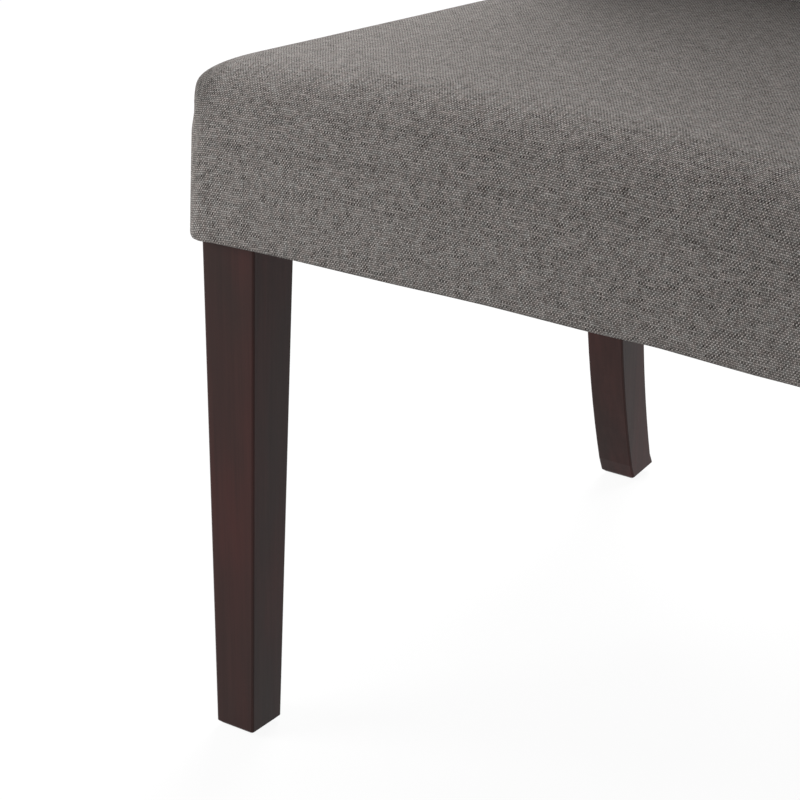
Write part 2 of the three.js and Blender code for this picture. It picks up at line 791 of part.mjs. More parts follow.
// The opening in the underside of the covers, inside the lip that is stapled to the rails.
function lipOpening() {
  const x = halfWidth - clothLip;
  return solid(box(-x, x, clothFrontY + clothLip, backRearY(0) - clothLip, 0, railBottomZ + fitGap));
}

function seatCover(backSolid) {
  return withoutLegs(seatBody(0).subtract(seatBody(clothThickness)).subtract(lipOpening()))
    .subtract(backSolid);
}

function seatWadding(backSolid) {
  return drawnIn(seatBody(clothThickness), softGap).subtract(seatCore()).subtract(backSolid);
}

// The seat foam fills the core above the webbing, back to the inside back.
function seatFoam(backSolid) {
  const y0 = clothFrontY - overrun;
  const y1 = postFrontY + overrun;
  const floor = (y) => deckHeight(y) + webStack / Math.cos(deckPitch);
  const outline = [[y0, floor(y0)], [y1, floor(y1)], [y1, chairHeight], [y0, chairHeight]];
  return drawnIn(seatBody(paddingThickness - fitGap), softGap)
    .intersect(solid(prismAlongX(outline, -chairWidth, chairWidth)))
    .subtract(backSolid);
}

// The outside back: the panel of the back's cover that closes it behind, with its lower edge
// turned under the back rail.
function rearPanelTool(grow) {
  const x = halfWidth - rearPanelInset + grow;
  const outline = [
    [postFront(0) + chairDepth, -overrun],
    [backRearY(0) - clothLip - fitGap, -overrun],
    [backRearY(0) - clothLip - fitGap, railBottomZ],
    [backRearY(0) - backRearRadius, railBottomZ],
    [backRearY(0) - backRearRadius, rakeStartZ],
    [backRearY(chairHeight) - backRearRadius, chairHeight - rearPanelInset + grow],
    [postFront(0) + chairDepth, chairHeight - rearPanelInset + grow],
  ];
  return solid(prismAlongX(outline, -x, x));
}

function backCovers() {
  const shell = withoutLegs(backBody(0).subtract(backBody(clothThickness)).subtract(lipOpening()))
    .subtract(frameSpace());
  return [shell.subtract(rearPanelTool(fitGap / 2)), shell.intersect(rearPanelTool(-fitGap / 2))];
}

// A tack strip lies flat under the outside back's cover, between two heights; grown, it is the
// room for it in the wadding.
function tackStrip(x0, x1, z0, z1, grow) {
  const depth = clothThickness + fitGap;
  const outline = [
    [postFront(z0), z0 - grow],
    [chairDepth, z0 - grow],
    [chairDepth, z1 + grow],
    [postFront(z1), z1 + grow],
  ];
  return backBody(depth - grow)
    .subtract(backBody(depth + tackStripThickness + grow))
    .intersect(solid(prismAlongX(outline, x0 - grow, x1 + grow)));
}

// The strips along the top and the two sides of the outside back, as names and places.
const tackStripX = halfWidth - rearPanelInset - tackStripInset;
const tackStripTopZ = chairHeight - rearPanelInset - tackStripInset;
const sideStripTopZ = tackStripTopZ - tackStripWidth - tackStripInset;
const tackStrips = [
  ['top_tack_strip', -tackStripX, tackStripX, tackStripTopZ - tackStripWidth, tackStripTopZ],
  ['side_tack_strip_left', -tackStripX, tackStripWidth - tackStripX, rakeStartZ, sideStripTopZ],
  ['side_tack_strip_right', tackStripX - tackStripWidth, tackStripX, rakeStartZ, sideStripTopZ],
];

function backWadding() {
  const padding = backBody(clothThickness + softGap).subtract(backCore()).subtract(frameSpace())
    .subtract(rearPostBlank(-1, fitGap)).subtract(rearPostBlank(1, fitGap));
  return tackStrips.reduce((rest, [, ...place]) => rest.subtract(tackStrip(...place, fitGap)), padding);
}

// The back foam fills the core in front of the webbing, down to the seat's webbing.
function backFoam() {
  const faceY = (z) => postFront(z) - webStack / Math.cos(rakeAngle);
  const y0 = clothFrontY;
  const outline = [
    [y0, railBottomZ],
    [faceY(rakeStartZ), railBottomZ],
    [faceY(rakeStartZ), rakeStartZ],
    [faceY(chairHeight), chairHeight],
    [y0, chairHeight],
  ];
  return backBody(paddingThickness + fitGap).intersect(solid(prismAlongX(outline, -chairWidth, chairWidth)))
    .subtract(frameSpace());
}

// The black cloth stapled over the underside.
function dustCloth() {
  const x = halfWidth - dustClothInset;
  const top = seatUndersideHeight - fitGap;
  const slab = box(-x, x, clothFrontY + dustClothInset, backRearY(0) - dustClothInset,
    top - dustClothThickness, top);
  return withoutLegs(solid(slab));
}

// A nail-on glide, turned with its nail up and its seat at 0, and the hole for its nail.
function glide(thickness) {
  return turned([
    [0, -thickness],
    [glideFlatRadius, -thickness],
    [glideRadius, -glideRimThickness],
    [glideRadius, 0],
    [glideNailRadius, 0],
    [glideNailRadius, glideNailLength - glideNailRadius],
    [0, glideNailLength],
  ], glideSides);
}

function glideHole() {
  const radius = glideNailRadius + fitGap;
  return turned([
    [0, -overrun],
    [radius, -overrun],
    [radius, glideNailLength + fitGap],
    [0, glideNailLength + fitGap],
  ], roundSides);
}

function glidePlace(side, atFront) {
  const place = new THREE.Object3D();
  const x = side * (woodHalfWidth - footSize / 2);
  if (atFront) {
    place.position.set(x, woodFrontY + footSize / 2, frontGlideThickness);
  } else {
    place.position.set(x, postFront(0) + footSize / 2, rearGlideZ);
    place.rotation.x = heelTilt;
  }
  place.updateMatrix();
  return place.matrix;
}

// Assembly
const chair = new THREE.Group();

function add(name, shape, material, parent = chair, matrix = null) {
  const mesh = new THREE.Mesh(shape.isBufferGeometry ? shape : geometryOf(shape), material);
  mesh.name = name;
  if (matrix) mesh.applyMatrix4(matrix);
  parent.add(mesh);
}

const holeFor = (tool, place) => solid(tool.clone().applyMatrix4(place));
const blocks = new Map(corners.map((corner) => [corner.name, cornerBlock(corner)]));
const sideRails = { left: sideRail(-1), right: sideRail(1) };
const crossRails = {
  front: crossRail(frontTenonX, tenonLength, woodFrontY),
  rear: crossRail(rearTenonX, backRailTenonLength, backRailY),
};

for (const side of [-1, 1]) {
  const name = side < 0 ? 'left' : 'right';
  const at = (end) => corners.find((corner) => corner.name === `${end}_${name}`);
  const leg = frontLegBlank(side)
    .subtract(solid(crossRailTenon(side, frontTenonX, tenonLength, woodFrontY, fitGap)))
    .subtract(solid(sideRailTenon(side, true, fitGap)))
    .subtract(holeFor(boltHole(), boltPlace(at('front'))))
    .subtract(holeFor(glideHole(), glidePlace(side, true)));
  const post = rearPostBlank(side, 0)
    .subtract(solid(crossRailTenon(side, rearTenonX, backRailTenonLength, backRailY, fitGap)))
    .subtract(solid(sideRailTenon(side, false, fitGap)))
    .subtract(holeFor(boltHole(), boltPlace(at('rear'))))
    .subtract(holeFor(backRailTenon(side, crestRailZ, crestRailHeight, fitGap), backFrame.matrix))
    .subtract(holeFor(backRailTenon(side, lowerBackRailLift, lowerBackRailHeight, fitGap), backFrame.matrix))
    .subtract(holeFor(glideHole(), glidePlace(side, false)));
  add(`front_leg_${name}`, leg, materials.espresso);
  add(`rear_post_${name}`, post, materials.espresso);
  add(`glide_front_${name}`, glide(frontGlideThickness), materials.glide, chair, glidePlace(side, true));
  add(`glide_rear_${name}`, glide(rearGlideThickness), materials.glide, chair, glidePlace(side, false));
}

for (const corner of corners) {
  const [end, name] = corner.name.split('_');
  let block = blocks.get(corner.name).subtract(holeFor(boltHole(), boltPlace(corner)));
  add(`leg_bolt_${corner.name}`, legBolt(), materials.zinc, chair, boltPlace(corner));
  screwPlaces(corner).forEach((place, i) => {
    const hole = holeFor(screwProfile(fitGap, overrun), place);
    block = block.subtract(hole);
    if (i === 0) sideRails[name] = sideRails[name].subtract(hole);
    else crossRails[end] = crossRails[end].subtract(hole);
    add(`block_screw_${corner.name}_${i + 1}`, screwProfile(0, fitGap), materials.zinc, chair, place);
  });
  add(`corner_block_${corner.name}`, block, materials.frameWood);
}

add('side_rail_left', sideRails.left, materials.frameWood);
add('side_rail_right', sideRails.right, materials.frameWood);
add('front_rail', crossRails.front, materials.frameWood);
add('back_rail', crossRails.rear, materials.frameWood);
add('crest_rail', backFrameRail(crestRailZ, crestRailHeight), materials.frameWood, backFrame);
add('lower_back_rail', backFrameRail(lowerBackRailLift, lowerBackRailHeight), materials.frameWood, backFrame);

// Lengthwise straps run along the deck's y and up the back, crosswise ones along x. All of them
// rise away from the wood, along the deck's z and the back's -y.
const basis = (u, v, w) => new THREE.Matrix4().makeBasis(
  new THREE.Vector3(...u), new THREE.Vector3(...v), new THREE.Vector3(...w));
const alongDeck = basis([0, 1, 0], [-1, 0, 0], [0, 0, 1]);
const upBack = basis([0, 0, 1], [-1, 0, 0], [0, -1, 0]);
const acrossBack = basis([1, 0, 0], [0, 0, 1], [0, -1, 0]);
const webEnd = woodHalfWidth - webEndSetback;
chair.add(seatDeck, backFrame);

seatLanes.forEach((lane, i) => {
  const geometry = strap(webEndSetback, deckLength - webEndSetback, -lane, seatWebWidth,
    [seatBearing, seatBearing], seatCrossings, i % 2 === 0);
  add(`seat_web_lengthwise_${i + 1}`, geometry.applyMatrix4(alongDeck), materials.webbing, seatDeck);
});
seatCrossings.forEach((crossing, i) => {
  const geometry = strap(-webEnd, webEnd, crossing, seatWebWidth,
    [seatBearing, seatBearing], seatLanes, i % 2 === 1);
  add(`seat_web_crosswise_${i + 1}`, geometry, materials.webbing, seatDeck);
});
backLanes.forEach((lane, i) => {
  const bearings = [lowerBackRailHeight - webEndSetback + fitGap, crestRailHeight - webEndSetback + fitGap];
  const geometry = strap(lowerBackRailLift + webEndSetback, crestRailZ + crestRailHeight - webEndSetback,
    -lane, backWebWidth, bearings, backCrossings, i % 2 === 0);
  add(`back_web_upright_${i + 1}`, geometry.applyMatrix4(upBack), materials.webbing, backFrame);
});
backCrossings.forEach((crossing, i) => {
  const bearing = rearPostWidth - webEndSetback + fitGap;
  const geometry = strap(-webEnd, webEnd, crossing, backWebWidth, [bearing, bearing], backLanes, i % 2 === 1);
  add(`back_web_crosswise_${i + 1}`, geometry.applyMatrix4(acrossBack), materials.webbing, backFrame);
});

// The seat's soft parts stop a clearance short of the back.
const backSpace = backBody(-fitGap);
const [insideBackCover, outsideBackCover] = backCovers();
add('seat_foam', seatFoam(backSpace), materials.foam);
add('seat_wadding', seatWadding(backSpace), materials.wadding);
add('seat_cover', seatCover(backSpace), materials.cloth);
add('back_foam', backFoam(), materials.foam);
add('back_wadding', backWadding(), materials.wadding);
add('inside_back_cover', insideBackCover, materials.cloth);
add('outside_back_cover', outsideBackCover, materials.cloth);
add('dust_cloth', dustCloth(), materials.dustCloth);
for (const [name, ...place] of tackStrips) {
  add(name, tackStrip(...place, 0), name.startsWith('top') ? materials.card : materials.zinc);
}

// The origin goes under the middle of the whole chair's box.
const extent = new THREE.Box3().setFromObject(chair, true);
const centre = extent.getCenter(new THREE.Vector3());
chair.position.set(-centre.x, -centre.y, -extent.min.z);

export default chair;
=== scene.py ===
"""An upholstered parsons dining chair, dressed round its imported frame.

The frame, webbing and fasteners are the CAD pieces with their real finishes. The padding, the
covers and the dust cloth are surfaces made here, each in the place of its plain CAD solid.
Metres, +Z up, the front of the chair faces -Y.
"""

import bpy
import numpy as np
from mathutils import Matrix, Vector


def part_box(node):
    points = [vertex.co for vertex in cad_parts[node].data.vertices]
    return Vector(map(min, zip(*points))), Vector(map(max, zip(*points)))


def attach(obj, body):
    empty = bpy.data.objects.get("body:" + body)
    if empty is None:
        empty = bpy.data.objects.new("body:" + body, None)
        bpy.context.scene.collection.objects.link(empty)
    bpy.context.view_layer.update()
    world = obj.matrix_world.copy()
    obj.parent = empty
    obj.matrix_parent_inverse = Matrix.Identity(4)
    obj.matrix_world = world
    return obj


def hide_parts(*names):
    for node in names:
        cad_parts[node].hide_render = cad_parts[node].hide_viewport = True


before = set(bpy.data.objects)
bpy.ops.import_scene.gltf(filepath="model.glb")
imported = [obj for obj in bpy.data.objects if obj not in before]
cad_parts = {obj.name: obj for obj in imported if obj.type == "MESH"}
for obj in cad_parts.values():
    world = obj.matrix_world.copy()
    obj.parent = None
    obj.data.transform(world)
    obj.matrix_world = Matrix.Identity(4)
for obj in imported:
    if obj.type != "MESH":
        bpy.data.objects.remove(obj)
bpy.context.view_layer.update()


# Front legs and rear posts
# The front legs are square hardwood, tapered on their two inner faces. The rear legs and back
# posts are one sawn piece. All four are stained espresso and sprayed with a satin lacquer.

def node(tree, kind, inputs=None, **settings):
    """A new shader node. An input is a number, a colour or the output that feeds it."""
    made = tree.nodes.new("ShaderNode" + kind)
    for setting, value in settings.items():
        setattr(made, setting, value)
    for socket, value in (inputs or {}).items():
        if isinstance(value, bpy.types.NodeSocket):
            tree.links.new(value, made.inputs[socket])
        else:
            made.inputs[socket].default_value = value
    return made


def maths(tree, operation, first, second=0.0, third=0.0):
    """One sum on two or three numbers."""
    made = node(tree, "Math", {0: first, 1: second, 2: third}, operation=operation)
    return made.outputs[0]


def finish(name, sockets):
    """A new material and its Principled shader, with the values that are the same all over."""
    material = bpy.data.materials.new(name)
    material.use_nodes = True
    shader = material.node_tree.nodes["Principled BSDF"]
    for socket, value in sockets.items():
        shader.inputs[socket].default_value = value
    return material, material.node_tree, shader


def object_place(tree, scale=(1, 1, 1)):
    """The place on the chair in metres, stretched by a scale for each axis."""
    coordinates = node(tree, "TexCoord").outputs["Object"]
    return node(tree, "Mapping", {"Vector": coordinates, "Scale": scale}).outputs[0]


def cloudy(tree, place, scale, detail=2.0, roughness=0.5):
    """Soft noise from 0 to 1 at a place."""
    inputs = {"Vector": place, "Scale": scale, "Detail": detail, "Roughness": roughness}
    return node(tree, "TexNoise", inputs).outputs["Fac"]


def ramp(tree, fac, *stops):
    """Colours or greys between stops of (position, colour)."""
    made = node(tree, "ValToRGB", {"Fac": fac})
    elements = made.color_ramp.elements
    while len(elements) < len(stops):
        elements.new(0.5)
    for element, (position, colour) in zip(elements, stops):
        element.position = position
        element.color = (*colour, 1) if len(colour) == 3 else colour
    return made.outputs["Color"]


def mix(tree, fac, first, second, blend="MIX"):
    """Two colours mixed, or blended, by a share."""
    return node(tree, "Mix", {"Factor": fac, "A": first, "B": second},
                data_type="RGBA", blend_type=blend).outputs["Result"]


def coat(tree, shader, colour, roughness=None, relief=None, strength=1.0, distance=0.0):
    """Feeds a shader its colour and, where they vary, its roughness and its relief."""
    tree.links.new(colour, shader.inputs["Base Color"])
    if roughness is not None:
        tree.links.new(roughness, shader.inputs["Roughness"])
    if relief is not None:
        inputs = {"Strength": strength, "Distance": distance, "Height": relief}
        bump = node(tree, "Bump", inputs)
        tree.links.new(bump.outputs[0], shader.inputs["Normal"])


def espresso_lacquer():
    """Stained wood under satin lacquer: long grain along Z, cloudy patches where the stain took
    more or less, and arrises painted lighter and redder, partly where the stain is rubbed thin
    and partly as a painted highlight along the edges."""
    material, tree, shader = finish("espresso_lacquer", {"Specular IOR Level": 0.155})
    grain = cloudy(tree, object_place(tree, (190, 190, 5)), 1.0, 5.0, 0.62)
    pores = cloudy(tree, object_place(tree, (900, 900, 30)), 1.0, 2.0, 0.6)
    patches = cloudy(tree, object_place(tree, (26, 26, 7)), 1.0, 2.0, 0.5)
    stain = ramp(tree, patches, (0.30, (0.026, 0.0130, 0.0115)), (0.52, (0.037, 0.0138, 0.0122)),
                 (0.72, (0.054, 0.0150, 0.0132)))
    figure = ramp(tree, grain, (0.32, (0.80, 0.80, 0.80)), (0.70, (1.16, 1.14, 1.12)))
    stained = mix(tree, 1.0, stain, figure, "MULTIPLY")
    rounded = node(tree, "Bevel", {"Radius": 0.0016}, samples=6).outputs["Normal"]
    flat = node(tree, "NewGeometry").outputs["Normal"]
    turned = node(tree, "VectorMath", {0: rounded, 1: flat}, operation="DOT_PRODUCT")
    # Arrises painted lighter and redder: partly stain rubbed thin, partly a painted highlight.
    arris = maths(tree, "SUBTRACT", 1.0, turned.outputs["Value"])
    wear_and_highlight = maths(tree, "MULTIPLY", arris, maths(tree, "MULTIPLY_ADD", patches, 6.0, 0.4))
    wear_and_highlight = node(tree, "Clamp", {"Value": wear_and_highlight, "Max": 0.5}).outputs[0]
    colour = mix(tree, wear_and_highlight, stained, (0.062, 0.026, 0.021, 1))
    gloss = maths(tree, "MULTIPLY_ADD", pores, 0.16, 0.30)
    relief = maths(tree, "MULTIPLY_ADD", pores, 0.5, grain)
    coat(tree, shader, colour, gloss, relief, 0.18, 0.0003)
    return material


def refinish(material, *names):
    """Gives CAD pieces a finish."""
    for name in names:
        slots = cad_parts[name].data.materials
        slots.clear()
        slots.append(material)


both_sides = ("left", "right")
four_corners = ("front_left", "front_right", "rear_left", "rear_right")
refinish(espresso_lacquer(), *(f"front_leg_{side}" for side in both_sides),
         *(f"rear_post_{side}" for side in both_sides))


# Seat rails, back rails and corner blocks
# Kiln-dried hardwood boards with tenoned ends, and diagonal braces mitred between them. They
# are planed and left bare, because the upholstery hides them.

def bare_hardwood():
    """Pale planed wood with grain that runs along a board and darker growth lines."""
    material, tree, shader = finish("bare_hardwood", {"Roughness": 0.62})
    place = object_place(tree, (30, 60, 60))
    drift = cloudy(tree, place, 1.0, 3.0, 0.55)
    rings = node(tree, "TexWave", {
        "Vector": place, "Scale": 0.9, "Distortion": 5.0, "Detail": 3.0, "Detail Scale": 1.4},
        bands_direction="Z").outputs["Fac"]
    pale = ramp(tree, rings, (0.1, (0.58, 0.42, 0.25)), (0.8, (0.46, 0.31, 0.165)))
    colour = mix(tree, maths(tree, "MULTIPLY", drift, 0.35), pale, (0.64, 0.49, 0.31, 1))
    coat(tree, shader, colour, relief=drift, strength=0.2, distance=0.0004)
    return material


refinish(
    bare_hardwood(), "front_rail", "back_rail", "crest_rail", "lower_back_rail",
    *(f"side_rail_{side}" for side in both_sides),
    *(f"corner_block_{corner}" for corner in four_corners),
)


# Leg bolts and block screws
# Zinc-plated steel. A bolt with a washer goes through each corner block into its leg, on the
# diagonal, and two countersunk screws fix the block to the rails.

def zinc_plate():
    """Plated steel with the faint spangle and brushed streaks of a cheap bright plating."""
    material, tree, shader = finish("zinc_plate", {"Metallic": 1.0})
    streaks = cloudy(tree, object_place(tree, (700, 700, 90)), 1.0, 3.0, 0.6)
    colour = ramp(tree, streaks, (0.3, (0.50, 0.50, 0.48)), (0.7, (0.68, 0.68, 0.66)))
    coat(tree, shader, colour, maths(tree, "MULTIPLY_ADD", streaks, 0.3, 0.22))
    return material


zinc = zinc_plate()
refinish(zinc, *(f"leg_bolt_{corner}" for corner in four_corners))
refinish(zinc, *(f"block_screw_{corner}_{i}" for corner in four_corners for i in (1, 2)))


# Elastic webbing
# Woven rubber-cored straps, stretched over and under each other and stapled to the rails: three
# each way under the seat, and three up and two across in the back.

def elastic_weave():
    """Black straps with fine ribs, where the rubber cores show through the covering yarn."""
    material, tree, shader = finish("elastic_weave", {"Roughness": 0.8})
    place = object_place(tree)
    ribs, picks = (
        node(tree, "TexWave", {"Vector": place, "Scale": scale}, bands_direction=way).outputs["Fac"]
        for way, scale in (("X", 110.0), ("Y", 160.0)))
    cross = maths(tree, "MULTIPLY", ribs, picks)
    colour = ramp(tree, cross, (0.0, (0.012, 0.011, 0.011)), (0.9, (0.045, 0.042, 0.040)))
    coat(tree, shader, colour, relief=cross, strength=0.5, distance=0.0004)
    return material


refinish(
    elastic_weave(),
    *(f"seat_web_{way}_{i}" for way in ("lengthwise", "crosswise") for i in (1, 2, 3)),
    *(f"back_web_upright_{i}" for i in (1, 2, 3)), *(f"back_web_crosswise_{i}" for i in (1, 2)),
)


# Seat foam, wadding and cover
# A moulded foam pad is glued over the webbing, wrapped in polyester wadding and covered with one
# piece of taupe plain weave, pulled down over the front and sides and stapled under the rails.
# Its rear edge is tucked in under the back, and the padding swells it a little, as simulated.

half_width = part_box("seat_cover")[1].x
cloth_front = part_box("seat_cover")[0].y
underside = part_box("seat_cover")[0].z
wood_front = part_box("front_rail")[0].y
rail_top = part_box("front_rail")[1].z
leg_inner_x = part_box("front_leg_right")[0].x
leg_outer_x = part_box("front_leg_right")[1].x
front_leg_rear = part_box("front_leg_right")[1].y
back_rail_front, back_rail_rear = (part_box("back_rail")[end].y for end in (0, 1))
post_depth = 0.043
post_top_depth = 0.030
post_front = (back_rail_front + back_rail_rear - post_depth) / 2
deck_drop_share = 0.0437
cloth_thickness = 0.0012
wadding_thickness = 0.0076
wadding_depth = cloth_thickness + 0.0008
wadding_floor = underside + 0.0025
foam_depth = 0.0103
web_stack = 0.0046
leg_clearance = 0.0006
flat_margin = 0.0005
cut_above_rails = 0.006
cut_at_back = 0.010

seat_edge_height = rail_top + 0.0425
seat_drop_share = 0.076
seat_crown = 0.011
seat_front_radius = 0.0500
seat_side_radius = 0.013
seat_rear_radius = 0.009
seat_corner_radius = 0.0165
seat_tuck_radius = 0.005
seat_tuck_growth = 0.004
seat_draw_in = 0.0022
seat_step_in = 0.0016
seat_drawn = seat_draw_in + seat_step_in
seat_step_height = 0.018
seat_step_rise = 0.015
seat_fitting_reach = 0.035
seat_tail_half = leg_outer_x - 0.0004
seat_tail_start = 0.012
corner_steps = 8
corner_growth = 3
seat_edge_steps = 12
rail_rows, step_rows, foam_rows = 8, 5, 4

lip_width = 0.030
staple_line = 0.0093
lip_insets = (lip_width, 0.024, 0.0185, 0.0135, staple_line, 0.006)
lower_edge_radius = 0.003
hem_fade_height = 0.045
hem_front_reach = 0.05
hem_smoothing = 0.006
hem_side_waves = ((0.0007, 0.19, 0.6), (0.0005, 0.083, 0.0))
hem_marks, hem_rises = np.array([
    (-0.252, -0.0062), (-0.244, -0.0046), (-0.232, -0.0026), (-0.190, -0.0011), (-0.163, -0.0004),
    (-0.120, 0.0), (-0.083, 0.0003), (-0.048, 0.0011), (-0.013, 0.0016), (0.021, 0.0013),
    (0.054, 0.0010), (0.100, 0.0019), (0.130, 0.0008), (0.162, -0.0004), (0.191, -0.0006),
    (0.232, -0.0022), (0.244, -0.0038), (0.252, -0.0050)]).T

swell_cell = 0.008
swell_frames = 20
swell_pressure = 0.3
swell_stretch_stiffness = 40.0
swell_bending_stiffness = 5.0
swell_batches = 64
seat_swell_reach = 0.0005
held_height = 0.006
held_gap = 0.004

back_padding_at_seat = 0.050
back_padding_at_top = 0.038
back_crown = 0.009
back_crease_depth = 0.0235
back_crease_rise = 0.065
back_front_radius = 0.020
chair_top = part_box("inside_back_cover")[1].z
post_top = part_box("rear_post_left")[1]
rake_start = rail_top - deck_drop_share * (back_rail_front - wood_front)
rake_slope = (post_top.y - post_front - post_top_depth) / (post_top.z - rake_start)


def deck_height(y):
    """The pitched plane along the tops of the seat rails."""
    return rail_top - deck_drop_share * (y - wood_front)


def seat_surface(x, y, facing=0):
    """The seat's upper face: level across the front edge but for a parabolic crown from side to
    side, and falling evenly to the back."""
    crown = seat_crown * (1 - (x / half_width) ** 2)
    return seat_edge_height + crown - seat_drop_share * (y - wood_front)


def rake(z):
    """How far the back's frame leans back at a height, straight from the seat up."""
    return rake_slope * np.maximum(0, z - rake_start)


def back_crease(z):
    """How far the inside back is drawn in where it comes down onto the seat. It comes out again
    in a parabola above that."""
    crease_height = seat_surface(0, post_front - back_padding_at_seat)
    return back_crease_depth * (1 - np.clip((z - crease_height) / back_crease_rise, 0, 1)) ** 2


def back_front_line(z):
    """The inside back's front face at a height before its crown: the posts' front less padding
    that thins evenly from the seat to the top, and less still by the crease at the seat."""
    share = np.maximum(0, z - rake_start) / (chair_top - rake_start)
    padding = back_padding_at_seat + (back_padding_at_top - back_padding_at_seat) * share
    return post_front + rake(z) - padding + back_crease(z)


def back_bulge(x, z):
    """How far the inside back stands out in front of its plain line: a parabola from side to
    side, fullest half way up and half as full at the seat and the top."""
    middle = (rake_start + chair_top) / 2
    fullness = 1 - ((z - middle) / (chair_top - middle)) ** 2 / 2
    return back_crown * fullness * np.clip(1 - (x / half_width) ** 2, 0, 1)


def inside_back(x, z):
    """The inside back's face at a place, with its crown and its rounded side edges."""
    past = np.clip(np.abs(x) - half_width + back_front_radius, 0, back_front_radius)
    rounded = back_front_radius - np.sqrt(back_front_radius ** 2 - past ** 2)
    return back_front_line(z) - back_bulge(x, z) + rounded


def stations(marks, cells):
    """Shares of a straight edge that hit each of its marks, with a number of cells between."""
    runs = [np.linspace(a, b, n, endpoint=False) for a, b, n in zip(marks[:-1], marks[1:], cells)]
    places = np.concatenate([*runs, marks[-1:]])
    return (places - marks[0]) / (marks[-1] - marks[0])


def outline(x_half, y_front, y_rear, front_radius, rear_radius, along):
    """A rectangle with rounded corners as rows of (x, y, facing), anticlockwise from the middle
    of its front left corner: half a corner, a straight at the given shares and half the next
    corner, for front, right, rear and left."""
    corners = [(-1, 1, y_front, front_radius), (1, 1, y_front, front_radius),
               (1, -1, y_rear, rear_radius), (-1, -1, y_rear, rear_radius)]
    runs = []
    for side, shares in enumerate(along):
        facing = 90 * side - 90
        arcs = []
        for corner, start in ((side, facing - 45), ((side + 1) % 4, facing)):
            across, ahead, y_edge, radius = corners[corner]
            angle = np.radians(start + np.linspace(0, 45, corner_steps + 1))
            x = across * (x_half - radius) + radius * np.cos(angle)
            y = y_edge + ahead * radius + radius * np.sin(angle)
            arcs.append(np.stack([x, y, angle], axis=1))
        straight = arcs[0][-1] + shares[1:-1, None] * (arcs[1][0] - arcs[0][-1])
        runs.append(np.concatenate([arcs[0], straight, arcs[1][:-1]]))
    return np.concatenate(runs)


def run_lengths(along):
    """How many columns each of an outline's four runs has."""
    return [len(shares) - 1 + 2 * corner_steps for shares in along]


def patch(edge, counts):
    """A surface inside a closed edge of four runs: each inner point is the blend of the four
    edges across it less the blend of the four corners. Returns the inner points, and a table
    of vertex numbers in which the edge's own points come first."""
    across, along = counts[0], counts[1]
    total = len(edge)
    front = np.arange(0, across + 1)
    right = np.arange(across, across + along + 1)
    rear = np.arange(across + along, 2 * across + along + 1)[::-1]
    left = (np.arange(2 * across + along, total + 1) % total)[::-1]
    u = np.linspace(0, 1, across + 1)[None, :, None]
    v = np.linspace(0, 1, along + 1)[:, None, None]
    f, r, b, l = edge[front][None], edge[right][:, None], edge[rear][None], edge[left][:, None]
    corners = ((1 - u) * (1 - v) * f[:, :1] + u * (1 - v) * f[:, -1:]
               + (1 - u) * v * b[:, :1] + u * v * b[:, -1:])
    points = (1 - v) * f + v * b + (1 - u) * l + u * r - corners
    table = np.zeros((along + 1, across + 1), int)
    table[0], table[-1], table[:, 0], table[:, -1] = front, rear, left, right
    inner = np.arange((across - 1) * (along - 1)).reshape(along - 1, across - 1)
    table[1:-1, 1:-1] = total + inner
    return points[1:-1, 1:-1].reshape(-1, points.shape[-1]), table


def at_corners(places):
    """A value for each place in a table, as the four values round each of its faces."""
    around = (places[:-1, :-1], places[:-1, 1:], places[1:, 1:], places[1:, :-1])
    return np.stack(around, axis=2)


def quads(table):
    """The four-cornered faces between neighbours in a table of vertex numbers."""
    return at_corners(table).reshape(-1, 4)


def walked(points, axis):
    """The distance walked along an axis of a grid of points, from its start."""
    steps = np.linalg.norm(np.diff(points, axis=axis), axis=-1)
    first = np.zeros_like(np.take(steps, [0], axis=axis))
    return np.concatenate([first, np.cumsum(steps, axis=axis)], axis=axis)


def once_round(rings):
    """Rings with their first column again after the last."""
    return np.concatenate([rings, rings[:, :1]], axis=1)


def new_object(name, data):
    """An object in the scene, at the origin."""
    made = bpy.data.objects.new(name, data)
    bpy.context.scene.collection.objects.link(made)
    return made


def soft_piece(name, points, faces, uv=None, keep=None):
    """A smooth mesh from points, faces and a thread place for each corner of each face, without
    the faces that keep leaves out or the points that only they had."""
    if keep is not None:
        faces = faces[keep]
        uv = None if uv is None else uv[keep]
    used, renumbered = np.unique(faces, return_inverse=True)
    mesh = bpy.data.meshes.new(name)
    mesh.from_pydata(points[used].tolist(), [], renumbered.reshape(faces.shape).tolist())
    if uv is not None:
        mesh.uv_layers.new(name="cloth").data.foreach_set("uv", uv.astype(np.float32).ravel())
    mesh.shade_smooth()
    return new_object(name, mesh)


def closed_over(rings, counts, lid_height, floor_height=None):
    """A wall of rings with a patch over its last ring, and another under its first where a
    floor height is given. Returns points, faces and how many of the faces are wall."""
    rows, total = rings.shape[:2]
    numbers = once_round(np.arange(rows * total).reshape(rows, total))
    wall = quads(numbers)
    inner, table = patch(rings[-1], counts)
    inner[:, 2] = lid_height(inner[:, 0], inner[:, 1])
    points = [rings.reshape(-1, 3), inner]
    lid = quads(np.where(table < total, table + (rows - 1) * total, table - total + rows * total))
    faces = [wall, lid]
    if floor_height is not None:
        under, table = patch(rings[0], counts)
        under[:, 2] = floor_height(under[:, 0], under[:, 1])
        first = rows * total + len(inner)
        points.append(under)
        faces.append(quads(np.where(table < total, table, table - total + first))[:, ::-1])
    return np.concatenate(points), np.concatenate(faces), len(wall)


def walled(piece, thickness):
    """Gives a surface its thickness, inwards."""
    wall = piece.modifiers.new("thickness", "SOLIDIFY")
    wall.thickness = thickness
    wall.offset = -1
    return piece


def seat_edge_radius(facing):
    """The radius of the seat's top edge: soft along the front, tighter along the sides and the
    rear, blended round the corners."""
    ahead = np.minimum(0, np.sin(facing)) ** 2
    behind = np.maximum(0, np.sin(facing)) ** 2
    return (seat_side_radius + (seat_front_radius - seat_side_radius) * ahead
            + (seat_rear_radius - seat_side_radius) * behind)


def ridge_foot(x, y, facing):
    """Where the seat's wall ends and its rounded top edge begins."""
    return seat_surface(x, y) - seat_edge_radius(facing)


